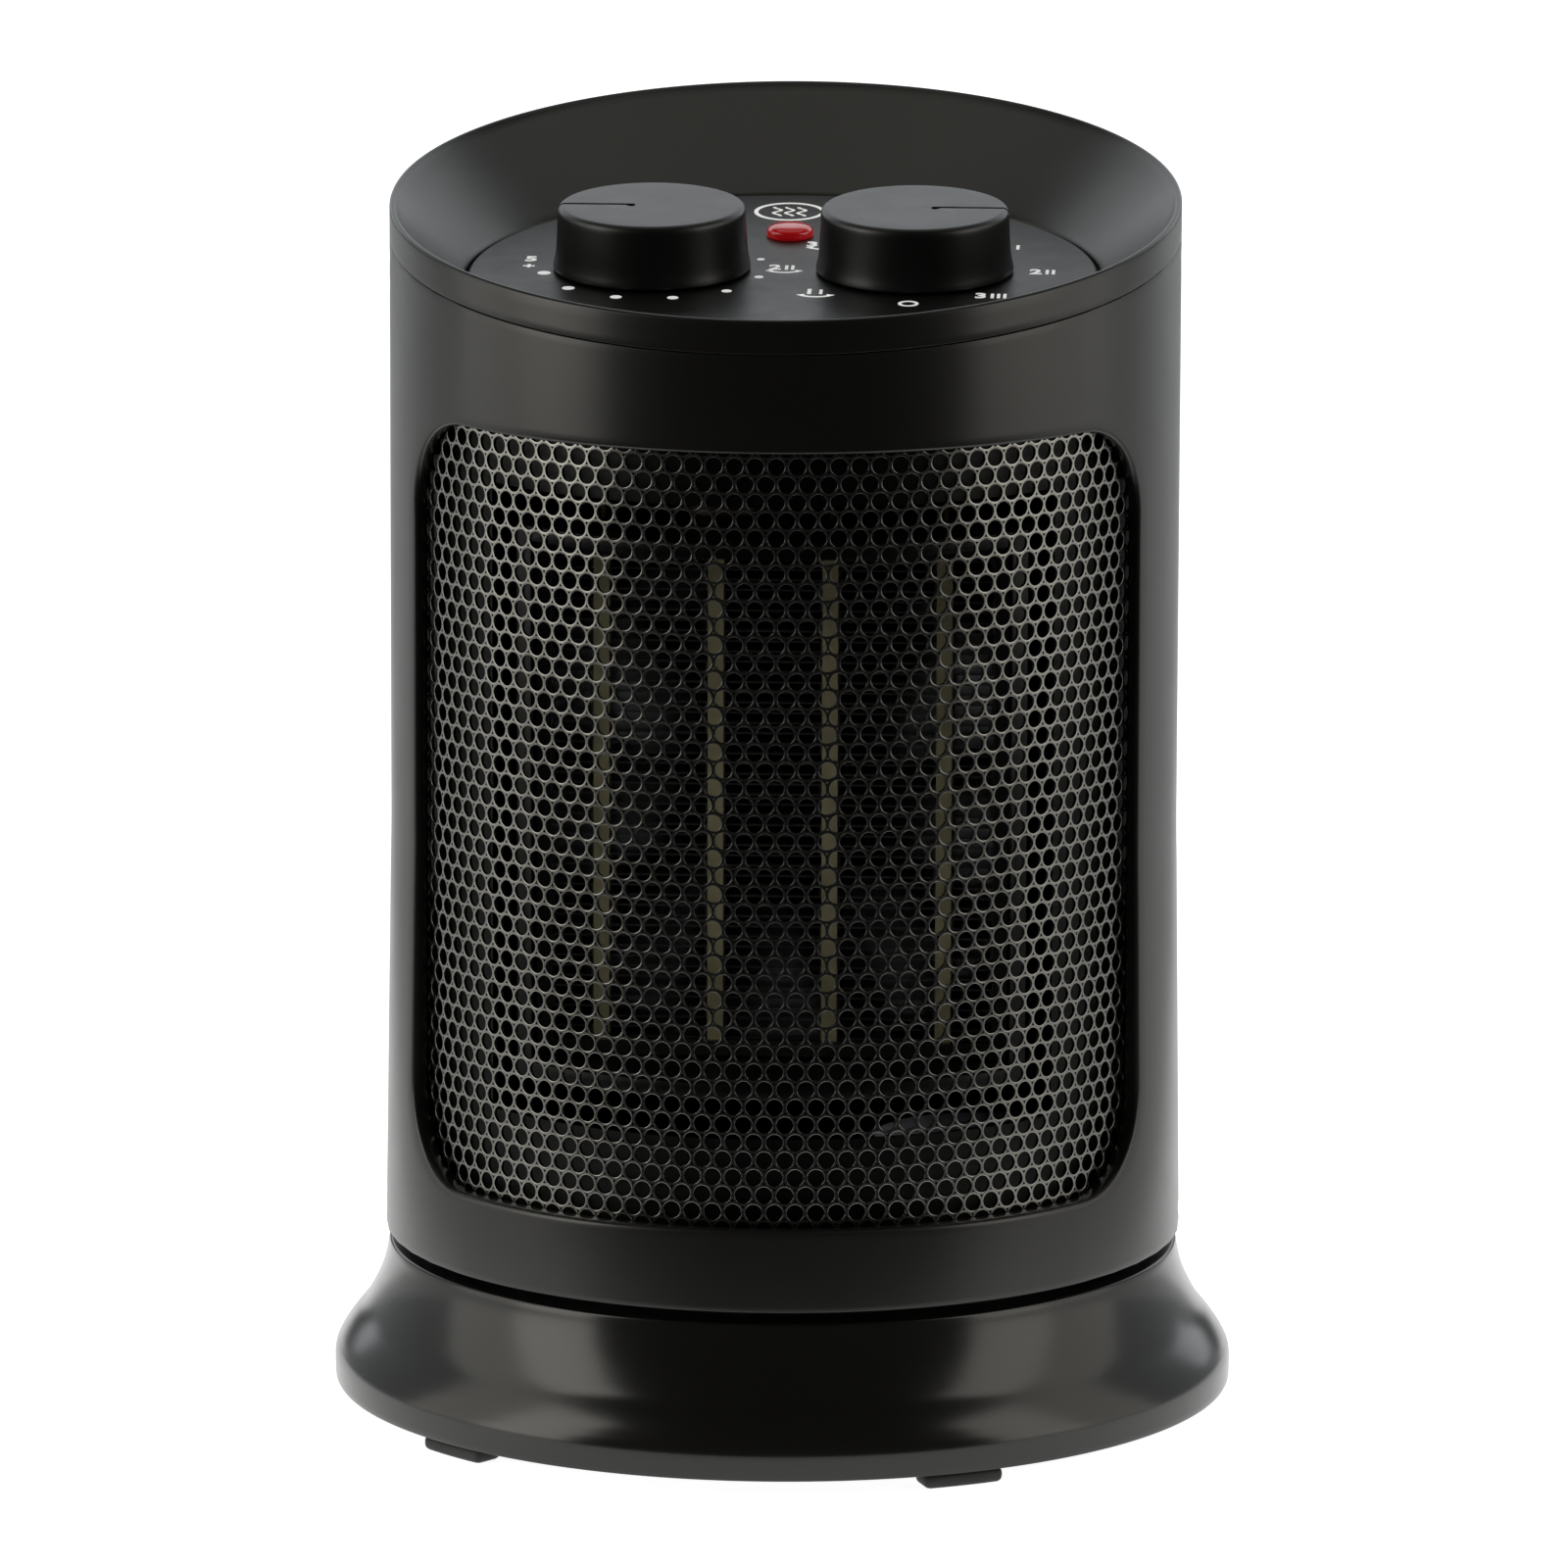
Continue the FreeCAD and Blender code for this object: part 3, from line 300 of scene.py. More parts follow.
M["grille"] = material("grille_dark_metal", (0.245, 0.242, 0.226), 0.23, 0.03, 260, 0.05, 2500, 0.00001,
                       metallic=1.0, var=0.10)
# also laid on the grille's hole walls and back as painted shade inside the holes
M["duct"] = material("duct_and_grille_hole_shade", (0.004, 0.004, 0.004), 0.45, 0.06, 120, 0.25, 1500, 0.00003)
M["duct"].node_tree.nodes["Principled BSDF"].inputs["Specular IOR Level"].default_value = 0.22
M["bezel"] = material("bezel_satin", (0.0045, 0.0045, 0.0042), 0.42, 0.05, 120, 0.20, 1500, 0.00002, spec=0.20)
M["inner"] = material("inner_moulding", (0.030, 0.030, 0.031), 0.48, 0.06, 120, 0.25, 1800, 0.00003, dust=0.02)
M["fan"] = material("fan_moulding", (0.045, 0.045, 0.050), 0.38, 0.05, 120, 0.15, 1800, 0.00003)
M["switch"] = material("switch_cream", (0.62, 0.59, 0.52), 0.40, 0.06, 140, 0.15, 1600, 0.00003, var=0.05)
M["phenolic"] = material("phenolic_brown", (0.085, 0.035, 0.020), 0.45, 0.08, 200, 0.30, 1400, 0.00003, var=0.25)
M["acetal"] = material("acetal_natural", (0.70, 0.69, 0.65), 0.32, 0.05, 120, 0.10, 1400, 0.00002, var=0.04)
M["alu"] = material("mill_aluminium", (0.42, 0.42, 0.43), 0.38, 0.10, 220, 0.25, 900, 0.00004, metallic=1.0,
                    streak=("Z", 700.0), var=0.10)
M["frame"] = material("frame_dark", (0.020, 0.020, 0.019), 0.22, 0.05, 180, 0.15, 1500, 0.00002, coat=0.3, var=0.2)
M["fins"] = material("fin_aluminium", (0.13, 0.13, 0.127), 0.40, 0.03, 260, 0.12, 1200, 0.00001, metallic=1.0,
                     var=0.12)
M["ceramic"] = material("ptc_ceramic", (0.300, 0.275, 0.165), 0.55, 0.10, 200, 0.40, 900, 0.00008, var=0.22,
                        var_scale=120.0)
M["brass"] = material("brass_tab", (0.62, 0.43, 0.17), 0.32, 0.08, 260, 0.20, 900, 0.00003, metallic=1.0)
M["steel"] = material("zinc_steel", (0.50, 0.50, 0.52), 0.34, 0.10, 260, 0.20, 900, 0.00003, metallic=1.0,
                      streak=("X", 600.0), var=0.12)
M["cast"] = material("cast_steel", (0.10, 0.10, 0.105), 0.62, 0.12, 120, 0.60, 420, 0.00020, metallic=0.7,
                     var=0.25)
M["lam"] = material("laminated_steel", (0.26, 0.26, 0.28), 0.45, 0.10, 240, 0.60, 900, 0.00008, metallic=1.0,
                    streak=("Y", 640.0), var=0.18)
M["coil"] = material("coil_tape", (0.60, 0.40, 0.06), 0.35, 0.08, 160, 0.35, 600, 0.00006, coat=0.3,
                     streak=("Z", 260.0), var=0.18)
M["rubber"] = material("foot_rubber", (0.012, 0.012, 0.012), 0.72, 0.08, 200, 0.50, 1400, 0.00006, var=0.2,
                       dust=0.02)
M["gland"] = material("gland_moulding", (0.014, 0.014, 0.014), 0.44, 0.06, 160, 0.25, 1600, 0.00003)
# white print with an emission of its own: painted glow that makes the marks read brighter
M["print"] = material("print_white_painted_glow", (0.80, 0.80, 0.78), 0.55, 0.06, 500, 0.10, 3000, 0.00001, var=0.04,
                      var_scale=300, emission=(1.0, 1.0, 0.98), emission_strength=0.46)

CAD_MATERIAL = {
    "base_cover": "base", "base_plate": "inner", "rubber_feet": "rubber", "ballast_weight": "cast",
    "turntable_ring": "acetal", "pivot_hub": "inner", "hub_retainer": "steel", "fixed_gear": "acetal",
    "tip_switch": "switch", "tip_bracket": "steel", "plunger_spring": "steel", "cord_gland": "gland",
    "base_screws": "steel", "front_housing": "casing", "rear_housing": "casing",
    "housing_screws": "steel", "top_ring": "casing", "control_panel": "panel",
    "indicator_lens": "lens", "neon_lamp": "lamp", "thermostat_body": "phenolic",
    "mode_switch_body": "phenolic", "switch_nuts": "steel", "front_grille": "grille",
    "outlet_bezel": "bezel", "air_duct": "duct", "ptc_frame": "frame", "ptc_ceramic_strips": "ceramic",
    "ptc_fins": "fins", "ptc_terminals": "brass", "thermal_cutout": "phenolic", "thermal_fuse": "steel",
    "fan_shroud": "duct", "motor_stator": "lam", "motor_coil": "coil", "motor_bracket_front": "steel",
    "motor_bracket_rear": "steel", "motor_bearings": "brass", "motor_screws": "steel",
    "housing_floor": "inner", "floor_screws": "steel", "osc_motor": "steel", "terminal_block": "switch",
    "fan_impeller": "fan", "motor_shaft": "steel", "motor_rotor": "lam", "thermostat_knob": "knob",
    "thermostat_shaft": "acetal", "mode_knob": "knob", "mode_shaft": "acetal", "osc_pinion": "acetal",
    "tip_plunger": "acetal",
}
for n, o in NODES.items():
    o.data.materials.clear()
    o.data.materials.append(M[CAD_MATERIAL[n]])

for n, w in (("base_plate", 0.3), ("air_duct", 0.4), ("ptc_frame", 0.3),
             ("cord_gland", 0.4), ("tip_bracket", 0.2), ("motor_stator", 0.2),
             ("fan_impeller", 0.3), ("fan_shroud", 0.4)):
    wm = NODES[n].modifiers.new("weld", "WELD")
    wm.merge_threshold = 2e-6
    b = NODES[n].modifiers.new("edges", "BEVEL")
    b.width, b.segments, b.limit_method, b.angle_limit = w * MM, 2, "ANGLE", math.radians(50)
    b.harden_normals = True


# ------------------------------------------------------------- front casing
def rrect(a, b, rc, nv, nh, nc):
    """Rounded rectangle, counter-clockwise from the low end of its right side."""
    pts = []
    for cx, cy, a0, side in ((1, 1, 0, "v"), (-1, 1, 90, "h"), (-1, -1, 180, "v"), (1, -1, 270, "h")):
        # straight run that leads to this corner
        if side == "v":
            x = a * cx
            y0, y1 = -(b - rc) * cy, (b - rc) * cy
            pts += [(x, y0 + (y1 - y0) * i / nv) for i in range(nv)]
        else:
            y = b * cy
            x0, x1 = (a - rc) * -cx, (a - rc) * cx
            pts += [(x0 + (x1 - x0) * i / nh, y) for i in range(nh)]
        pts += [(cx * (a - rc) + rc * math.cos(math.radians(a0 + 90 * i / nc)),
                 cy * (b - rc) + rc * math.sin(math.radians(a0 + 90 * i / nc))) for i in range(nc)]
    return pts


def front_shell():
    nv, nh, nc = 44, 60, 14
    a, b, rc = math.radians(OPEN_AZ) * R, (OPEN_HI - OPEN_LO) / 2, 19.5
    zc = (OPEN_HI + OPEN_LO) / 2
    U = math.radians(100.0) * R
    zlo = 33.8
    n = 2 * nv + 2 * nh + 4 * nc
    lip = 0.9                                   # rounding of the opening's edge

    def to3(u, z, r):
        t = u / R
        if r > 75.2:
            r += taper(z)
        return (r * math.sin(t), -r * math.cos(t), z)

    inner = rrect(a + lip, b + lip, rc + lip, nv, nh, nc)
    edge = 0.25
    outer, outdir = [], []
    k = 0
    hw = nc // 2

    def top_at(u):
        return seam_z(-R * math.cos(u / R)) - 0.05

    for cx, cy, side in ((1, 1, "v"), (-1, 1, "h"), (-1, -1, "v"), (1, -1, "h")):
        cnt = nv if side == "v" else nh
        ends = inner[k:k + cnt]
        for (u, z) in ends:
            if side == "v":
                outer.append((cx * U, z + zc)); outdir.append((cx, 0))
            else:
                outer.append((u, "top" if cy > 0 else zlo)); outdir.append((0, cy))
        k += cnt
        corner = inner[k:k + nc]
        # half of the corner runs along the first side, half along the next one
        first_v = side == "v"
        for i, (u, z) in enumerate(corner):
            f = i / nc
            if first_v:
                if i < hw:
                    g = i / hw
                    outer.append((cx * U, ("mixz", corner[0][1] + zc, cy, g))); outdir.append((cx, 0))
                elif i == hw:
                    outer.append((cx * U, "top" if cy > 0 else zlo)); outdir.append((cx, cy))
                else:
                    g = (i - hw) / (nc - hw)
                    u_end = inner[(k + nc) % n][0]
                    outer.append((cx * U + (u_end - cx * U) * g, "top" if cy > 0 else zlo)); outdir.append((0, cy))
            else:
                if i < hw:
                    g = i / hw
                    u0 = corner[0][0]
                    outer.append((u0 + (cx * U - u0) * g, "top" if cy > 0 else zlo)); outdir.append((0, cy))
                elif i == hw:
                    outer.append((cx * U, "top" if cy > 0 else zlo)); outdir.append((cx, cy))
                else:
                    g = (i - hw) / (nc - hw)
                    z_end = inner[(k + nc) % n][1] + zc
                    outer.append((cx * U, ("mixz2", z_end, cy, g))); outdir.append((cx, 0))
        k += nc
    fixed = []
    for (u, z), d in zip(outer, outdir):
        if z == "top":
            z = top_at(u)
        elif isinstance(z, tuple):
            kind, z0, cy, g = z
            zt = top_at(u) if cy > 0 else zlo
            z = z0 + (zt - z0) * g if kind == "mixz" else zt + (z0 - zt) * g
        fixed.append([u, z])
    outer = fixed

    rings = []
    # inner face ring, back side of the lip
    def ring_inner(d, r):
        return [to3(u, z + zc, r) for u, z in rrect(a + d, b + d, rc + d, nv, nh, nc)]

    wall = 74.45
    rings.append(ring_inner(0.35, wall + 0.0))
    rings.append(ring_inner(0.0, wall + 0.35))
    rings.append(ring_inner(0.0, R - lip))
    for i in range(1, 6):
        t = math.radians(90 * i / 5)
        rings.append(ring_inner(lip * (1 - math.cos(t)), R - lip * (1 - math.sin(t))))
    m = 16
    for s in range(1, m + 1):
        f = s / m
        ring = []
        for (ui, zi), (uo, zo), (dx, dy) in zip(inner, outer, outdir):
            uo2, zo2 = uo - dx * edge, zo - dy * edge
            ring.append(to3(ui + (uo2 - ui) * f, zi + zc + (zo2 - (zi + zc)) * f, R))
        rings.append(ring)
    for i in range(1, 5):
        t = math.radians(90 * i / 4)
        d = edge * (1 - math.sin(t))
        rings.append([to3(u - dx * d, z - dy * d, R - edge * (1 - math.cos(t)))
                      for (u, z), (dx, dy) in zip(outer, outdir)])
    rings.append([to3(u, z, 74.5) for (u, z) in outer])
    back = [(ui, zi + zc) for ui, zi in rrect(a + 0.35, b + 0.35, rc + 0.35, nv, nh, nc)]
    for f in (0.8, 0.6, 0.4, 0.2):
        rings.append([to3(ui + (uo - ui) * f, zi + (zo - zi) * f, wall)
                      for (ui, zi), (uo, zo) in zip(back, outer)])
    verts = [p for r in rings for p in r]
    faces = rings_to_faces(len(rings), n, True, True)
    return build("front_casing", verts, faces, M["casing"])


shell = front_shell()
sharpen(shell, 60)
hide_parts("front_housing")
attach(shell, "housing")


# --------------------------------------------------------------- top ring
def top_ring():
    n = 288
    rings = []

    def ring(fn):
        rings.append([fn(2 * math.pi * k / n) for k in range(n)])

    def cylp(r, zf):
        def f(t):
            x, y = r * math.cos(t), r * math.sin(t)
            return (x, y, zf(x, y))
        return f

    ring(cylp(74.1, lambda x, y: seam_z(y) - 7.0))
    ring(cylp(74.1, lambda x, y: seam_z(y) + 0.08))
    ring(cylp(R - 0.6, lambda x, y: seam_z(y) + 0.08))
    for i in range(0, 5):
        t = math.radians(90 * i / 4)
        rr = R - 0.25 * (1 - math.sin(t))
        ring(cylp(rr, lambda x, y, t=t: seam_z(y) + 0.08 + 0.25 * (1 - math.cos(t))))
    for f in (0.25, 0.5, 0.75):
        ring(cylp(R, lambda x, y, f=f: (seam_z(y) + 0.33) * (1 - f) + (rim_z(y) - 0.9) * f))
    e = 0.7
    for i in range(0, 7):
        t = math.radians(90 * i / 6)
        rr = R - e * (1 - math.cos(t))
        ring(cylp(rr, lambda x, y, t=t: rim_z(y) - e * (1 - math.sin(t))))

    # funnel
    def on_circle(t, r, cy, h, s):
        x, y = r * math.cos(t), cy + r * math.sin(t)
        return Vector((x, y, h + s * y))

    top_r, bot_r = 75.55, PR + 1.0

    def funnel(f, lift=0.0):
        def g(t):
            a = on_circle(t, top_r, 0.0, RIM - 0.60, SLOPE)
            b = on_circle(t, bot_r, PCY, PHEIGHT + 0.05, PSLOPE)
            return tuple(a + (b - a) * f)
        return g

    ring(cylp(75.95, lambda x, y: rim_z(y) - 0.10))
    for f in (0.0, 0.06, 0.14, 0.25, 0.38, 0.5, 0.62, 0.75, 0.86, 0.94, 0.985):
        ring(funnel(f))

    def panel_pt(r, z):
        def g(t):
            v = PANEL @ Vector((r * math.cos(t) * MM, r * math.sin(t) * MM, z * MM))
            return (v.x / MM, v.y / MM, v.z / MM)
        return g

    ring(panel_pt(PR + 0.85, -0.25))
    ring(panel_pt(PR + 0.55, -0.75))
    ring(panel_pt(PR + 0.5, -2.6))
    ring(panel_pt(57.6, -2.62))
    ring(panel_pt(57.6, -5.5))
    ring(panel_pt(60.0, -5.6))
    verts = [p for r in rings for p in r]
    faces = rings_to_faces(len(rings), n, True, True)
    o = build("slanted_rim", verts, faces, M["casing"])
    o.data.materials.append(M["funnel"])
    # funnel rings take the paler copy of the casing material: painted light
    lo = 19 * n
    for p in o.data.polygons:
        if min(p.vertices) >= lo and max(p.vertices) < (len(rings) - 3) * n:
            p.material_index = 1
    return o


rim = top_ring()
sharpen(rim, 50)
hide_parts("top_ring")
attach(rim, "housing")

def smooth_pts(pts, sub=3):
    """Catmull-Rom points through pts."""
    out = []
    p = [Vector((*q, 0)) for q in pts]
    for i in range(len(p) - 1):
        p0, p1, p2, p3 = p[max(i - 1, 0)], p[i], p[i + 1], p[min(i + 2, len(p) - 1)]
        for s in range(sub):
            t = s / sub
            v = 0.5 * ((2 * p1) + (p2 - p0) * t + (2 * p0 - 5 * p1 + 4 * p2 - p3) * t * t
                       + (3 * p1 - p0 - 3 * p2 + p3) * t ** 3)
            out.append((v.x, v.y))
    out.append(pts[-1])
    return out


# ------------------------------------------------------------------- knobs


def make_knob(name, node_name, body, side):
    prof = [(3.02, 3.0), (5.6, 3.0), (5.6, 9.6), (15.2, 9.6), (15.6, 9.2), (15.6, 0.9), (16.0, 0.45)]
    prof += [(18.85, 0.45)] + arc(18.82, 0.80, 0.35, -75, 10, 4)
    prof += smooth_pts([(19.16, 0.95), (19.06, 1.5), (18.88, 2.2), (18.70, 3.2), (18.56, 4.6), (18.44, 6.6),
                        (18.34, 8.8), (18.28, 10.9)], 2)
    prof += arc(16.93, 11.45, 1.35, 8, 90, 10)
    prof += [(14.0, 12.8), (9.0, 12.8), (4.0, 12.8), (0.0, 12.8)]
    prof = [(0.0, 10.42), (3.02, 10.42)] + prof
    k = lathe(name, prof, M["knob"], 192)
    # pointer groove with a small foot at its inner end
    w = 0.52
    outline = [(-w, w), (0.0, w), (20.0, w), (20.0, -w), (1.1, -w), (0.65, -1.15), (0.1, -1.5),
               (-0.55, -1.35), (-0.75, -0.65)]
    vs, n = [], len(outline)
    for zz in (11.7, 14.0):
        for x, y in outline:
            vs.append(((x + 3.9) * side, y, zz))
    fs = [tuple(range(n)), tuple(range(n, 2 * n))] + [(i, (i + 1) % n, n + (i + 1) % n, n + i) for i in range(n)]
    cutter = build("groove_" + name, vs, fs)
    boolean(k, cutter)
    kb = k.modifiers.new("edges", "BEVEL")
    kb.width, kb.segments, kb.limit_method, kb.angle_limit = 0.09 * MM, 2, "ANGLE", math.radians(60)
    k.data.transform(PANEL @ Matrix.Translation((side * 25.5 * MM, 2.5 * MM, 0)))
    apply_modifiers(k)
    k.data.shade_smooth()
    sharpen(k, 35)
    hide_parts(node_name)
    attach(k, body)
    return k


make_knob("knob_thermostat", "thermostat_knob", "thermostat_control", -1)
make_knob("knob_mode", "mode_knob", "mode_control", 1)

# -------------------------------------------------------------------- lens
prof = [(0.0, -4.9), (4.2, -4.9), (4.25, 0.0), (4.55, 0.02), (4.64, 0.12), (4.64, 0.7)]
for k in range(1, 15):
    t = math.radians(90 * k / 14)
    prof.append((4.64 * math.cos(t) ** 0.62, 0.7 + 1.62 * math.sin(t) ** 0.9))
prof[-1] = (0.0, 2.32)
lens = lathe("indicator_cap", prof, M["lens"], 96, PANEL @ Matrix.Translation((0, 29.1 * MM, 0)))
sharpen(lens, 50)
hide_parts("indicator_lens")
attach(lens, "housing")

# ------------------------------------------------------------------ grille


def grille():
    rad, thick, pitch = 74.28, 0.76, 3.985
    row = pitch * math.sqrt(3) / 2
    hole = 1.68
    seg = 18
    rnd = 0.15                      # width of the soft punched edge
    tilt = 28.0
    corner_r = pitch / math.sqrt(3)
    zc = 125.0
    prof = []                       # (hole radius, depth) from the face inwards
    rho = rnd / math.sin(math.radians(tilt))
    for i in range(0, 5):
        t = math.radians(tilt * i / 4)
        prof.append((hole + rnd - rho * math.sin(t), rho * (1 - math.cos(t))))
    prof += [(hole, thick * 0.75), (hole + 0.08, thick)]

    def hexpt(k):
        t = 2 * math.pi * k / seg
        # distance from the centre to the hexagon in this direction, flat sides at 0, 60, ...
        m = ((t + math.pi / 6) % (math.pi / 3)) - math.pi / 6
        d = (pitch / 2) / math.cos(m)
        return d * math.cos(t), d * math.sin(t)

    hexb = [hexpt(k) for k in range(seg)]
    verts, faces, index, dark = [], [], {}, []
    arc_half = math.radians(71.3) * rad - pitch / 2

    def vert(u, z, depth, key=None):
        if key is not None:
            key = (round(u * 200), round(z * 200), key)
            if key in index:
                return index[key]
        t = u / rad
        r = rad - depth
        verts.append((r * math.sin(t), -r * math.cos(t), z))
        if key is not None:
            index[key] = len(verts) - 1
        return len(verts) - 1

    rows = int(78.0 / row)
    for j in range(-rows, rows + 1):
        z = zc + j * row
        off = 0.0 if j % 2 == 0 else pitch / 2
        for i in range(-60, 61):
            u = i * pitch + off
            if abs(u) > arc_half:
                continue
            front = [vert(u + x, z + y, 0.0, "f") for x, y in hexb]
            prev = front
            for lev, (r_, d_) in enumerate(prof):
                cur = [vert(u + r_ * math.cos(2 * math.pi * k / seg), z + r_ * math.sin(2 * math.pi * k / seg), d_)
                       for k in range(seg)]
                for k in range(seg):
                    m = (k + 1) % seg
                    faces.append((prev[k], prev[m], cur[m], cur[k]))
                    # faces past the rounded edge (hole walls) are marked for the near-black slot: painted shade
                    # inside the holes
                    dark.append(1 if lev > 4 else 0)
                prev = cur
            back = [vert(u + x, z + y, thick, "b") for x, y in hexb]
            for k in range(seg):
                m = (k + 1) % seg
                faces.append((prev[k], prev[m], back[m], back[k]))
                dark.append(1)
    # close the sheet's zigzag edge
    count = {}
    for f in faces:
        for a, b in zip(f, f[1:] + f[:1]):
            count[(a, b)] = count.get((a, b), 0) + 1
    frontset = {v: k for k, v in index.items() if k[2] == "f"}
    for (a, b) in [e for e in count if (e[1], e[0]) not in count]:
        if a in frontset and b in frontset:
            ka, kb = frontset[a], frontset[b]
            ba, bb = index[(ka[0], ka[1], "b")], index[(kb[0], kb[1], "b")]
            faces.append((b, a, ba, bb))
            dark.append(1)
    o = build("perforated_grille", verts, faces, M["grille"])
    # second slot: near-black duct material, painted shade on the hole walls, the back and the cut edge
    o.data.materials.append(M["duct"])
    if len(o.data.polygons) == len(dark):
        o.data.polygons.foreach_set("material_index", dark)
    return o


g = grille()
sharpen(g, 75)
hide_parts("front_grille")
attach(g, "housing")

# -------------------------------------------------------------------- base
base_prof = [(11.5, 20.4), (12.0, 22.1)] + [(12.4, 22.5), (50.0, 22.5), (51.4, 22.9), (51.9, 23.9), (52.0, 30.9),
                                            (52.3, 31.4), (52.8, 31.5), (70.0, 31.5), (76.3, 31.5)]
base_prof += arc(76.9, 30.75, 0.75, 90, 8, 6)
flare_pts = [(77.75, 30.2), (77.95, 28.8), (78.42, 26.6), (79.15, 24.2), (80.10, 21.9), (81.30, 19.5), (82.75, 17.1),
             (84.45, 15.0), (85.85, 13.2), (86.95, 11.6), (87.62, 10.4), (88.06, 9.5), (88.30, 8.6)]


base_prof += smooth_pts(flare_pts, 2)
base_prof += [(88.38, 7.9), (88.38, 6.4), (88.34, 4.6), (88.28, 3.6), (88.05, 3.15), (87.7, 3.02),
              (85.9, 3.02), (85.7, 3.3), (85.6, 8.0), (81.2, 14.0), (75.0, 24.5), (73.6, 28.9),
              (54.6, 28.9), (54.6, 20.0), (11.5, 20.0)]
base_prof.append(base_prof[0])
base = lathe("flared_base", base_prof, M["base"], 256)
bm = bmesh.new()
bm.from_mesh(base.data)
bmesh.ops.remove_doubles(bm, verts=bm.verts[:], dist=1e-6)
bm.to_mesh(base.data)
bm.free()
hole = lathe("gland_cut", [(0.0, 0.0), (6.02, 0.0), (6.02, 22.0), (0.0, 22.0)], None, 48,
             Matrix.Translation((0, 70 * MM, 13 * MM)) @ Matrix.Rotation(-math.pi / 2, 4, "X"))
boolean(base, hole)
base.data.transform(Matrix.Rotation(TURN, 4, "Z"))
base.data.shade_smooth()
sharpen(base, 40)
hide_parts("base_cover")
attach(base, "base")


# -------------------------------------------------------------------- feet
def pads():
    """Arc-shaped rubber pads with rounded corners, flat on the floor."""
    verts, faces = [], []
    n = 8
    for azimuth in (36, 108, 180, 252, 324):
        mid = math.radians(azimuth - 90) + TURN
        b0 = len(verts)
        for k in range(n + 1):
            t = mid + math.radians(5.5) * (2 * k / n - 1)
            for r, z in ((80.0, 0.0), (86.8, 0.0), (86.8, 3.0), (80.0, 3.0)):
                verts.append((r * math.cos(t), r * math.sin(t), z))
        for k in range(n):
            a, b = b0 + 4 * k, b0 + 4 * k + 4
            faces += [(a + i, a + (i + 1) % 4, b + (i + 1) % 4, b + i) for i in range(4)]
        faces += [(b0, b0 + 1, b0 + 2, b0 + 3), tuple(b0 + 4 * n + i for i in range(4))]
    o = build("foot_pads", verts, faces, M["rubber"])
    m = o.modifiers.new("edges", "BEVEL")
    m.width, m.segments, m.limit_method, m.angle_limit = 1.25 * MM, 4, "ANGLE", math.radians(50)
    apply_modifiers(o)
    o.data.shade_smooth()
    return sharpen(o, 45)


feet = pads()
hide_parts("rubber_feet")
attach(feet, "base")


# ---------------------------------------------------------- panel printing
prints = []


def stamp(verts2, faces, lift=0.06):
    """Thin raised print on the panel from flat outlines in its plane, mm."""
    prints.append((verts2, faces, lift))


def disc(x, y, r, n=20, squash=1.0):
    stamp([(x + r * math.cos(2 * math.pi * k / n), y + squash * r * math.sin(2 * math.pi * k / n)) for k in range(n)],
          [tuple(range(n))])


def bar(x, y, w, h_, turn=0.0):
    c, s = math.cos(turn), math.sin(turn)
    pts = [(-w / 2, -h_ / 2), (w / 2, -h_ / 2), (w / 2, h_ / 2), (-w / 2, h_ / 2)]
    stamp([(x + a * c - b * s, y + a * s + b * c) for a, b in pts], [(0, 1, 2, 3)])


def arc_band(x, y, r0, r1, a0, a1, n=28):
    closed = abs(abs(a1 - a0) - 360) < 1e-6
    cnt = n if closed else n + 1
    v = []
    for k in range(cnt):
        t = math.radians(a0 + (a1 - a0) * k / n)
        v.append((x + r0 * math.cos(t), y + r0 * math.sin(t)))
        v.append((x + r1 * math.cos(t), y + r1 * math.sin(t)))
    f = []
    for k in range(n):
        a, b = 2 * k, 2 * ((k + 1) % cnt)
        f.append((a, a + 1, b + 1, b))
    stamp(v, f)


def tri(x, y, size, turn):
    stamp([(x + size * math.cos(turn + k * 2 * math.pi / 3), y + size * math.sin(turn + k * 2 * math.pi / 3))
           for k in range(3)], [(0, 1, 2)])


def numeral(txt, x, y, size):
    cu = bpy.data.curves.new("digit", "FONT")
    cu.body, cu.size, cu.align_x, cu.align_y = txt, size, "CENTER", "CENTER"
    cu.resolution_u, cu.offset = 4, 0.03 * size
    o = bpy.data.objects.new("digit", cu)
    bpy.context.scene.collection.objects.link(o)
    dg = bpy.context.evaluated_depsgraph_get()
    me = bpy.data.meshes.new_from_object(o.evaluated_get(dg))
    v = [(x + w.co.x, y + w.co.y) for w in me.vertices]
    f = [tuple(p.vertices) for p in me.polygons]
    stamp(v, f)
    bpy.data.objects.remove(o)
    bpy.data.meshes.remove(me)
    bpy.data.curves.remove(cu)


# positions are given on the panel: x, and y up the slope from its centre
def py(y):
    return (y - PCY) / math.cos(P_ANG)


LX, LY = -25.9, py(-9.3)
for ang, r, reach in ((190, 1.30, 20.6), (225, 1.22, 21.0), (256, 1.14, 21.8), (285, 1.08, 22.0), (315, 1.00, 22.3),
                      (347, 0.90, 22.0), (22, 0.76, 22.8), (55, 0.64, 22.4), (88, 0.56, 22.0)):
    t = math.radians(ang)
    disc(LX + reach * math.cos(t), LY + reach * math.sin(t), r)
numeral("5", -49.4, py(-2.4), 5.0)
bar(-49.5, py(-7.6), 2.3, 0.6)
bar(-49.5, py(-7.6), 0.6, 2.3)
RX, RY = 25.2, py(-8.3)


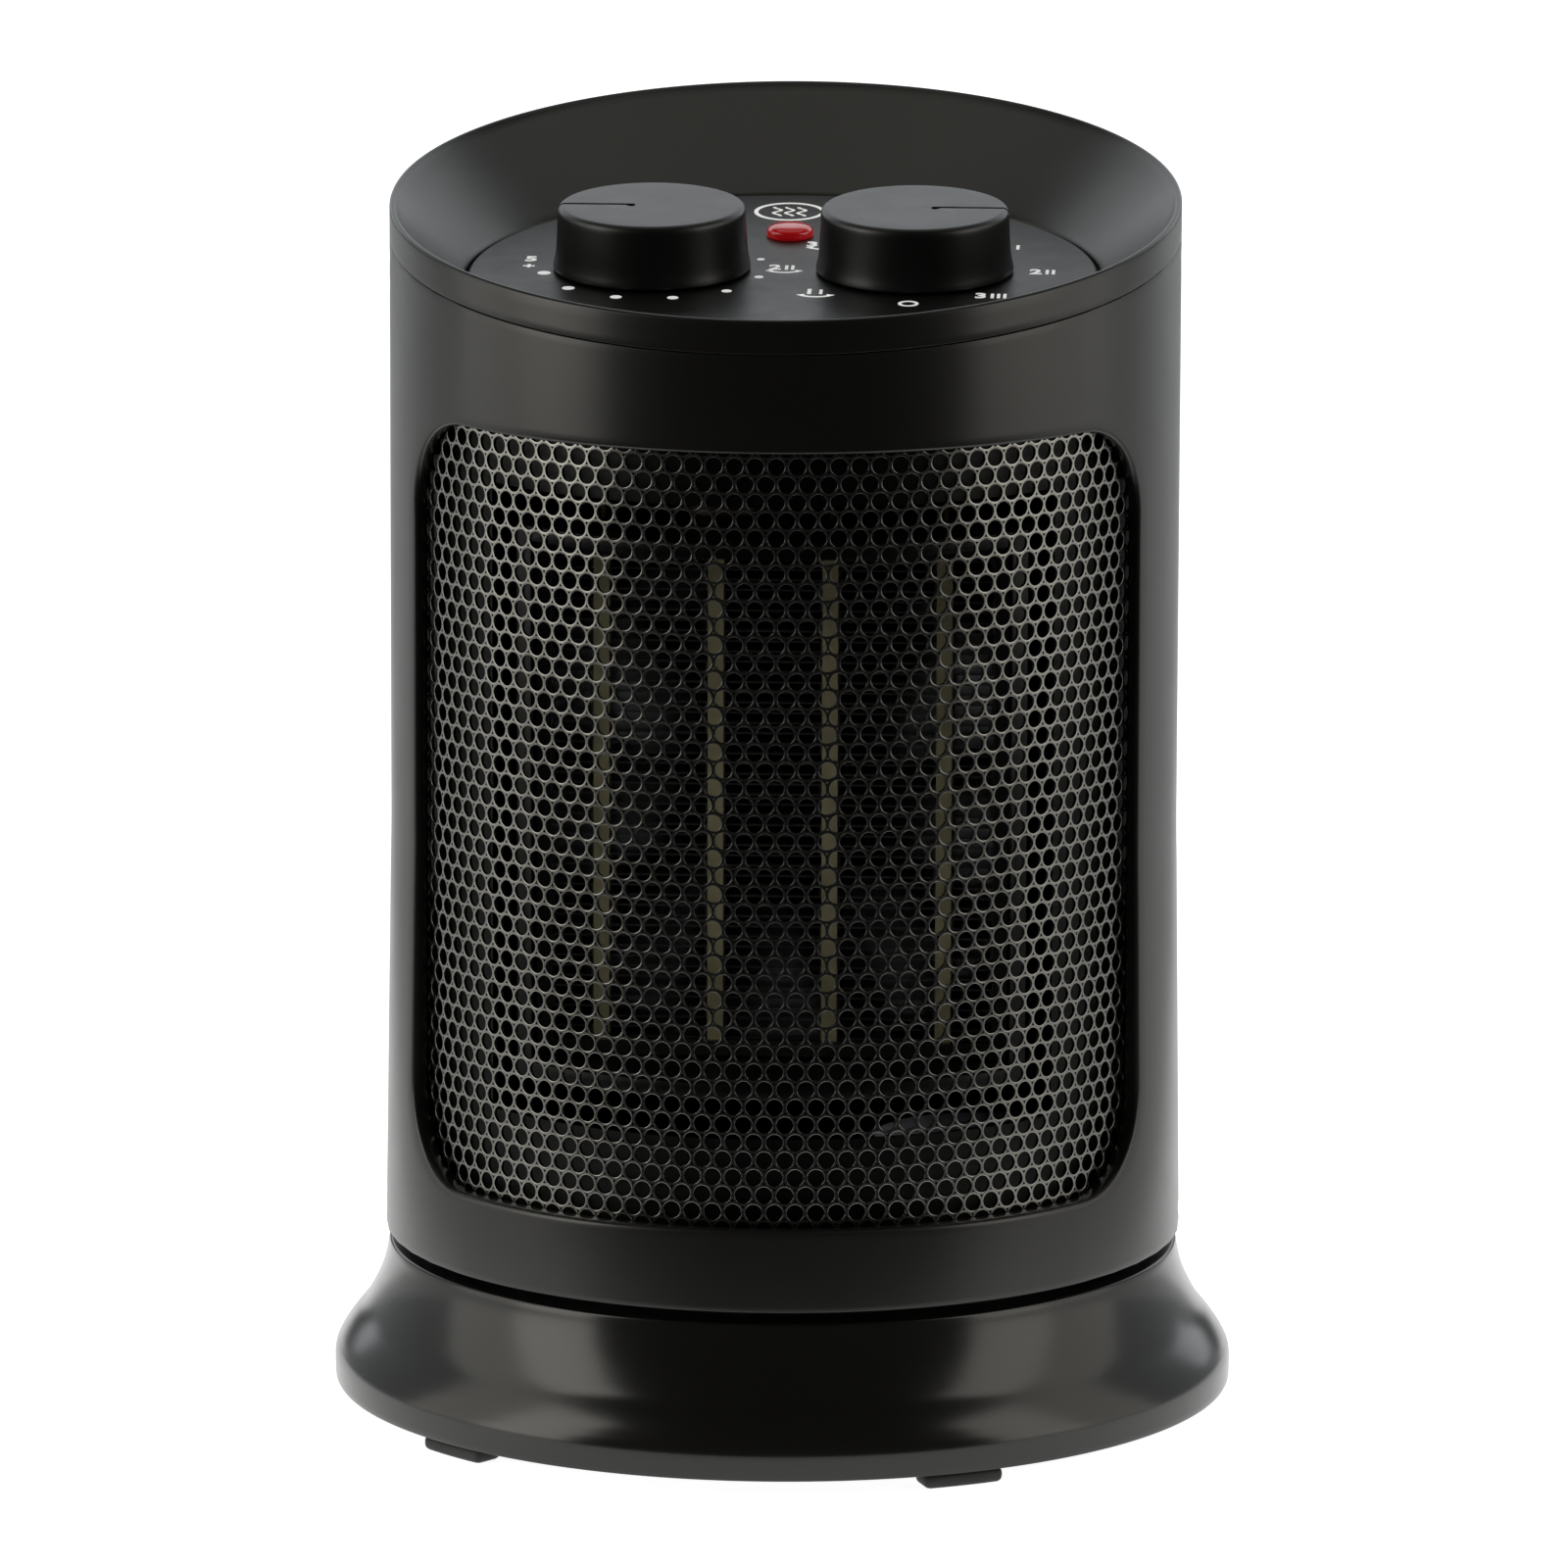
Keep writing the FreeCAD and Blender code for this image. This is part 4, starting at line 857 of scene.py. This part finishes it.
def mode_mark(ang, level, swing, rad=26.0, dx=0.0):
    """Numeral, a bar for each heat step, and a swing arc where it turns."""
    t = math.radians(ang)
    x, y = RX + rad * math.cos(t) + dx, RY + rad * math.sin(t)
    if swing:
        y += 1.4
    if level:
        w = 1.2 * level
        numeral(str(level), x - w / 2 - 0.7, y, 4.9)
        for k in range(level):
            bar(x - w / 2 + 1.55 + 1.2 * k, y, 0.62, 3.2)
    else:
        arc_band(x, y, 1.35, 2.0, 0, 360, 30)
    if swing:
        arc_band(x, y + 0.2, 3.6, 4.3, 228, 312, 16)
        tri(x - 2.75, y - 2.5, 0.95, math.radians(165))
        tri(x + 2.75, y - 2.5, 0.95, math.radians(15))


mode_mark(-90, 0, False, 24.8)
mode_mark(-47, 3, False, 25.2, -1.0)
mode_mark(0, 2, False, 25.6)
mode_mark(45, 1, False, 26.5)
mode_mark(-135, 1, True, 25.6)
mode_mark(180, 2, True, 25.0)
mode_mark(135, 3, True, 25.5)
# ring with three rising heat waves, in place of the pictogram
PX, PYY = -1.0, py(36.3)
arc_band(PX, PYY, 6.2, 7.0, 0, 360, 56)
for dx in (-2.4, 0.0, 2.4):
    v, n = [], 18
    for k in range(n + 1):
        yy = -3.4 + 6.8 * k / n
        xx = 0.75 * math.sin(yy * 1.45)
        v += [(PX + dx + xx - 0.33, PYY + yy), (PX + dx + xx + 0.33, PYY + yy)]
    stamp(v, [(2 * k, 2 * k + 1, 2 * k + 3, 2 * k + 2) for k in range(n)])

vs, fs = [], []
for v2, f2, lift in prints:
    b0 = len(vs)
    nv = len(v2)
    for z in (-0.05, lift):
        for x, y in v2:
            w = PANEL @ Vector((x * MM, y * MM, z * MM))
            vs.append(tuple(w))
    edges = {}
    for f in f2:
        fs.append(tuple(b0 + nv + i for i in f))
        fs.append(tuple(b0 + i for i in reversed(f)))
        for a, b in zip(f, f[1:] + f[:1]):
            edges[(a, b)] = edges.get((a, b), 0) + 1
    for (a, b) in edges:
        if (b, a) not in edges:
            fs.append((b0 + a, b0 + b, b0 + nv + b, b0 + nv + a))
marks = build("dial_marks", vs, fs, M["print"], smooth=False, scale=1.0)
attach(marks, "housing")


# ------------------------------------------------------------ stage, lights
def flat(name, color, rough):
    m = bpy.data.materials.new(name)
    m.use_nodes = True
    b = m.node_tree.nodes["Principled BSDF"]
    b.inputs["Base Color"].default_value = (*color, 1)
    b.inputs["Roughness"].default_value = rough
    b.inputs["Specular IOR Level"].default_value = 0.2
    return m


fm = flat("floor_painted_light_band", (0.80, 0.80, 0.80), 0.65)
fb = fm.node_tree.nodes["Principled BSDF"]
fb.inputs["Emission Color"].default_value = (1, 1, 1, 1)
fb.inputs["Base Color"].default_value = (0.70, 0.70, 0.70, 1)
# the floor's emission is painted light: strongest along the middle, fading toward its sides
fn = fm.node_tree
tc = fn.nodes.new("ShaderNodeTexCoord")
sx = fn.nodes.new("ShaderNodeSeparateXYZ")
fn.links.new(tc.outputs["Object"], sx.inputs["Vector"])
sk = fn.nodes.new("ShaderNodeMath"); sk.operation = "MULTIPLY_ADD"
fn.links.new(sx.outputs["Y"], sk.inputs[0])
sk.inputs[1].default_value = 0.049
fn.links.new(sx.outputs["X"], sk.inputs[2])
ab = fn.nodes.new("ShaderNodeMath"); ab.operation = "ABSOLUTE"
fn.links.new(sk.outputs[0], ab.inputs[0])
yy = fn.nodes.new("ShaderNodeMath"); yy.operation = "MULTIPLY"
fn.links.new(sx.outputs["Y"], yy.inputs[0])
yy.inputs[1].default_value = 0.070
ds = fn.nodes.new("ShaderNodeMath"); ds.operation = "SUBTRACT"
fn.links.new(ab.outputs[0], ds.inputs[0])
fn.links.new(yy.outputs[0], ds.inputs[1])
fr = fn.nodes.new("ShaderNodeMapRange"); fr.interpolation_type = "SMOOTHSTEP"
fr.inputs["From Min"].default_value = 0.165
fr.inputs["From Max"].default_value = 0.235
fr.inputs["To Min"].default_value = 0.93
fr.inputs["To Max"].default_value = 0.20
fn.links.new(ds.outputs[0], fr.inputs["Value"])
fn.links.new(fr.outputs["Result"], fb.inputs["Emission Strength"])
floor = build("floor", [(-1.8, -0.155, 0), (1.8, -0.155, 0), (1.8, 2.6, 0), (-1.8, 2.6, 0)], [(0, 1, 2, 3)],
              fm, False, 1.0)


def area(name, loc, target, w, h_, power, color=(1, 1, 1), spread=180.0):
    l = bpy.data.lights.new(name, "AREA")
    l.shape, l.size, l.size_y, l.energy, l.color = "RECTANGLE", w, h_, power, color
    l.spread = math.radians(spread)
    o = bpy.data.objects.new(name, l)
    bpy.context.scene.collection.objects.link(o)
    o.location = loc
    d = Vector(target) - Vector(loc)
    o.rotation_euler = d.to_track_quat("-Z", "Y").to_euler()
    return o


def softbox(name, azimuth, dist, w, z0, z1, radiance, color):
    """Upright panel facing the object; azimuth from -Y toward +X."""
    t = math.radians(azimuth)
    x, y, z = dist * math.sin(t), -dist * math.cos(t), (z0 + z1) / 2
    return area(name, (x, y, z), (0, 0, z), w, z1 - z0, radiance * math.pi * w * (z1 - z0), color)


softbox("soft_left_inner", -64, 1.15, 0.53, 0.0, 1.30, 2.9, (1.0, 0.98, 0.91))
softbox("soft_left_outer", -90, 1.15, 0.53, 0.0, 1.30, 1.35, (1.0, 0.98, 0.91))
softbox("soft_right_inner", 70, 1.15, 0.53, 0.0, 1.30, 1.95, (1.0, 0.975, 0.90))
softbox("soft_right_outer", 96, 1.15, 0.53, 0.0, 1.30, 1.10, (1.0, 0.975, 0.90))
softbox("wing_left", -125, 1.5, 1.2, 0.0, 1.50, 0.38, (0.95, 0.98, 1.0))
softbox("wing_right", 131, 1.5, 1.2, 0.0, 1.50, 0.38, (0.95, 0.98, 1.0))
area("soft_back", (0.0, 1.7, 0.95), (0, 0.0, 0.15), 3.2, 1.5, 1.0 * math.pi * 4.8, (0.93, 0.97, 1.0))
area("soft_top", (0.0, 0.48, 1.75), (0, 0.48, 0.0), 1.6, 1.2, 0.42 * math.pi * 1.92, (1.0, 0.99, 0.93))

world = bpy.data.worlds.new("studio")
world.use_nodes = True
wn = world.node_tree
bg = wn.nodes["Background"]
bg.inputs["Color"].default_value = (0.95, 0.97, 1.0, 1)
lp = wn.nodes.new("ShaderNodeLightPath")
mr = wn.nodes.new("ShaderNodeMapRange")
mr.inputs["To Min"].default_value = 0.018
mr.inputs["To Max"].default_value = 1.0
wn.links.new(lp.outputs["Is Camera Ray"], mr.inputs["Value"])
wn.links.new(mr.outputs["Result"], bg.inputs["Strength"])
bpy.context.scene.world = world

cam = bpy.data.cameras.new("camera")
cam.sensor_width = 36.0
cam.lens = 287.2
cam.clip_end = 50
co = bpy.data.objects.new("camera", cam)
bpy.context.scene.collection.objects.link(co)
az, pitch, roll = math.radians(2.8), 0.1983, 0.0030
pos = Vector((2.4056 * math.sin(az), -2.4056 * math.cos(az), 0.60485))
fwd = Vector((-math.sin(az) * math.cos(pitch), math.cos(az) * math.cos(pitch), -math.sin(pitch)))
right = Vector((math.cos(az), math.sin(az), 0))
up = right.cross(fwd)
r2 = math.cos(roll) * right + math.sin(roll) * up
u2 = -math.sin(roll) * right + math.cos(roll) * up
rot = Matrix((r2, u2, -fwd)).transposed()
co.matrix_world = Matrix.Translation(pos) @ rot.to_4x4()
bpy.context.scene.camera = co

bpy.context.scene.view_settings.view_transform = "Standard"
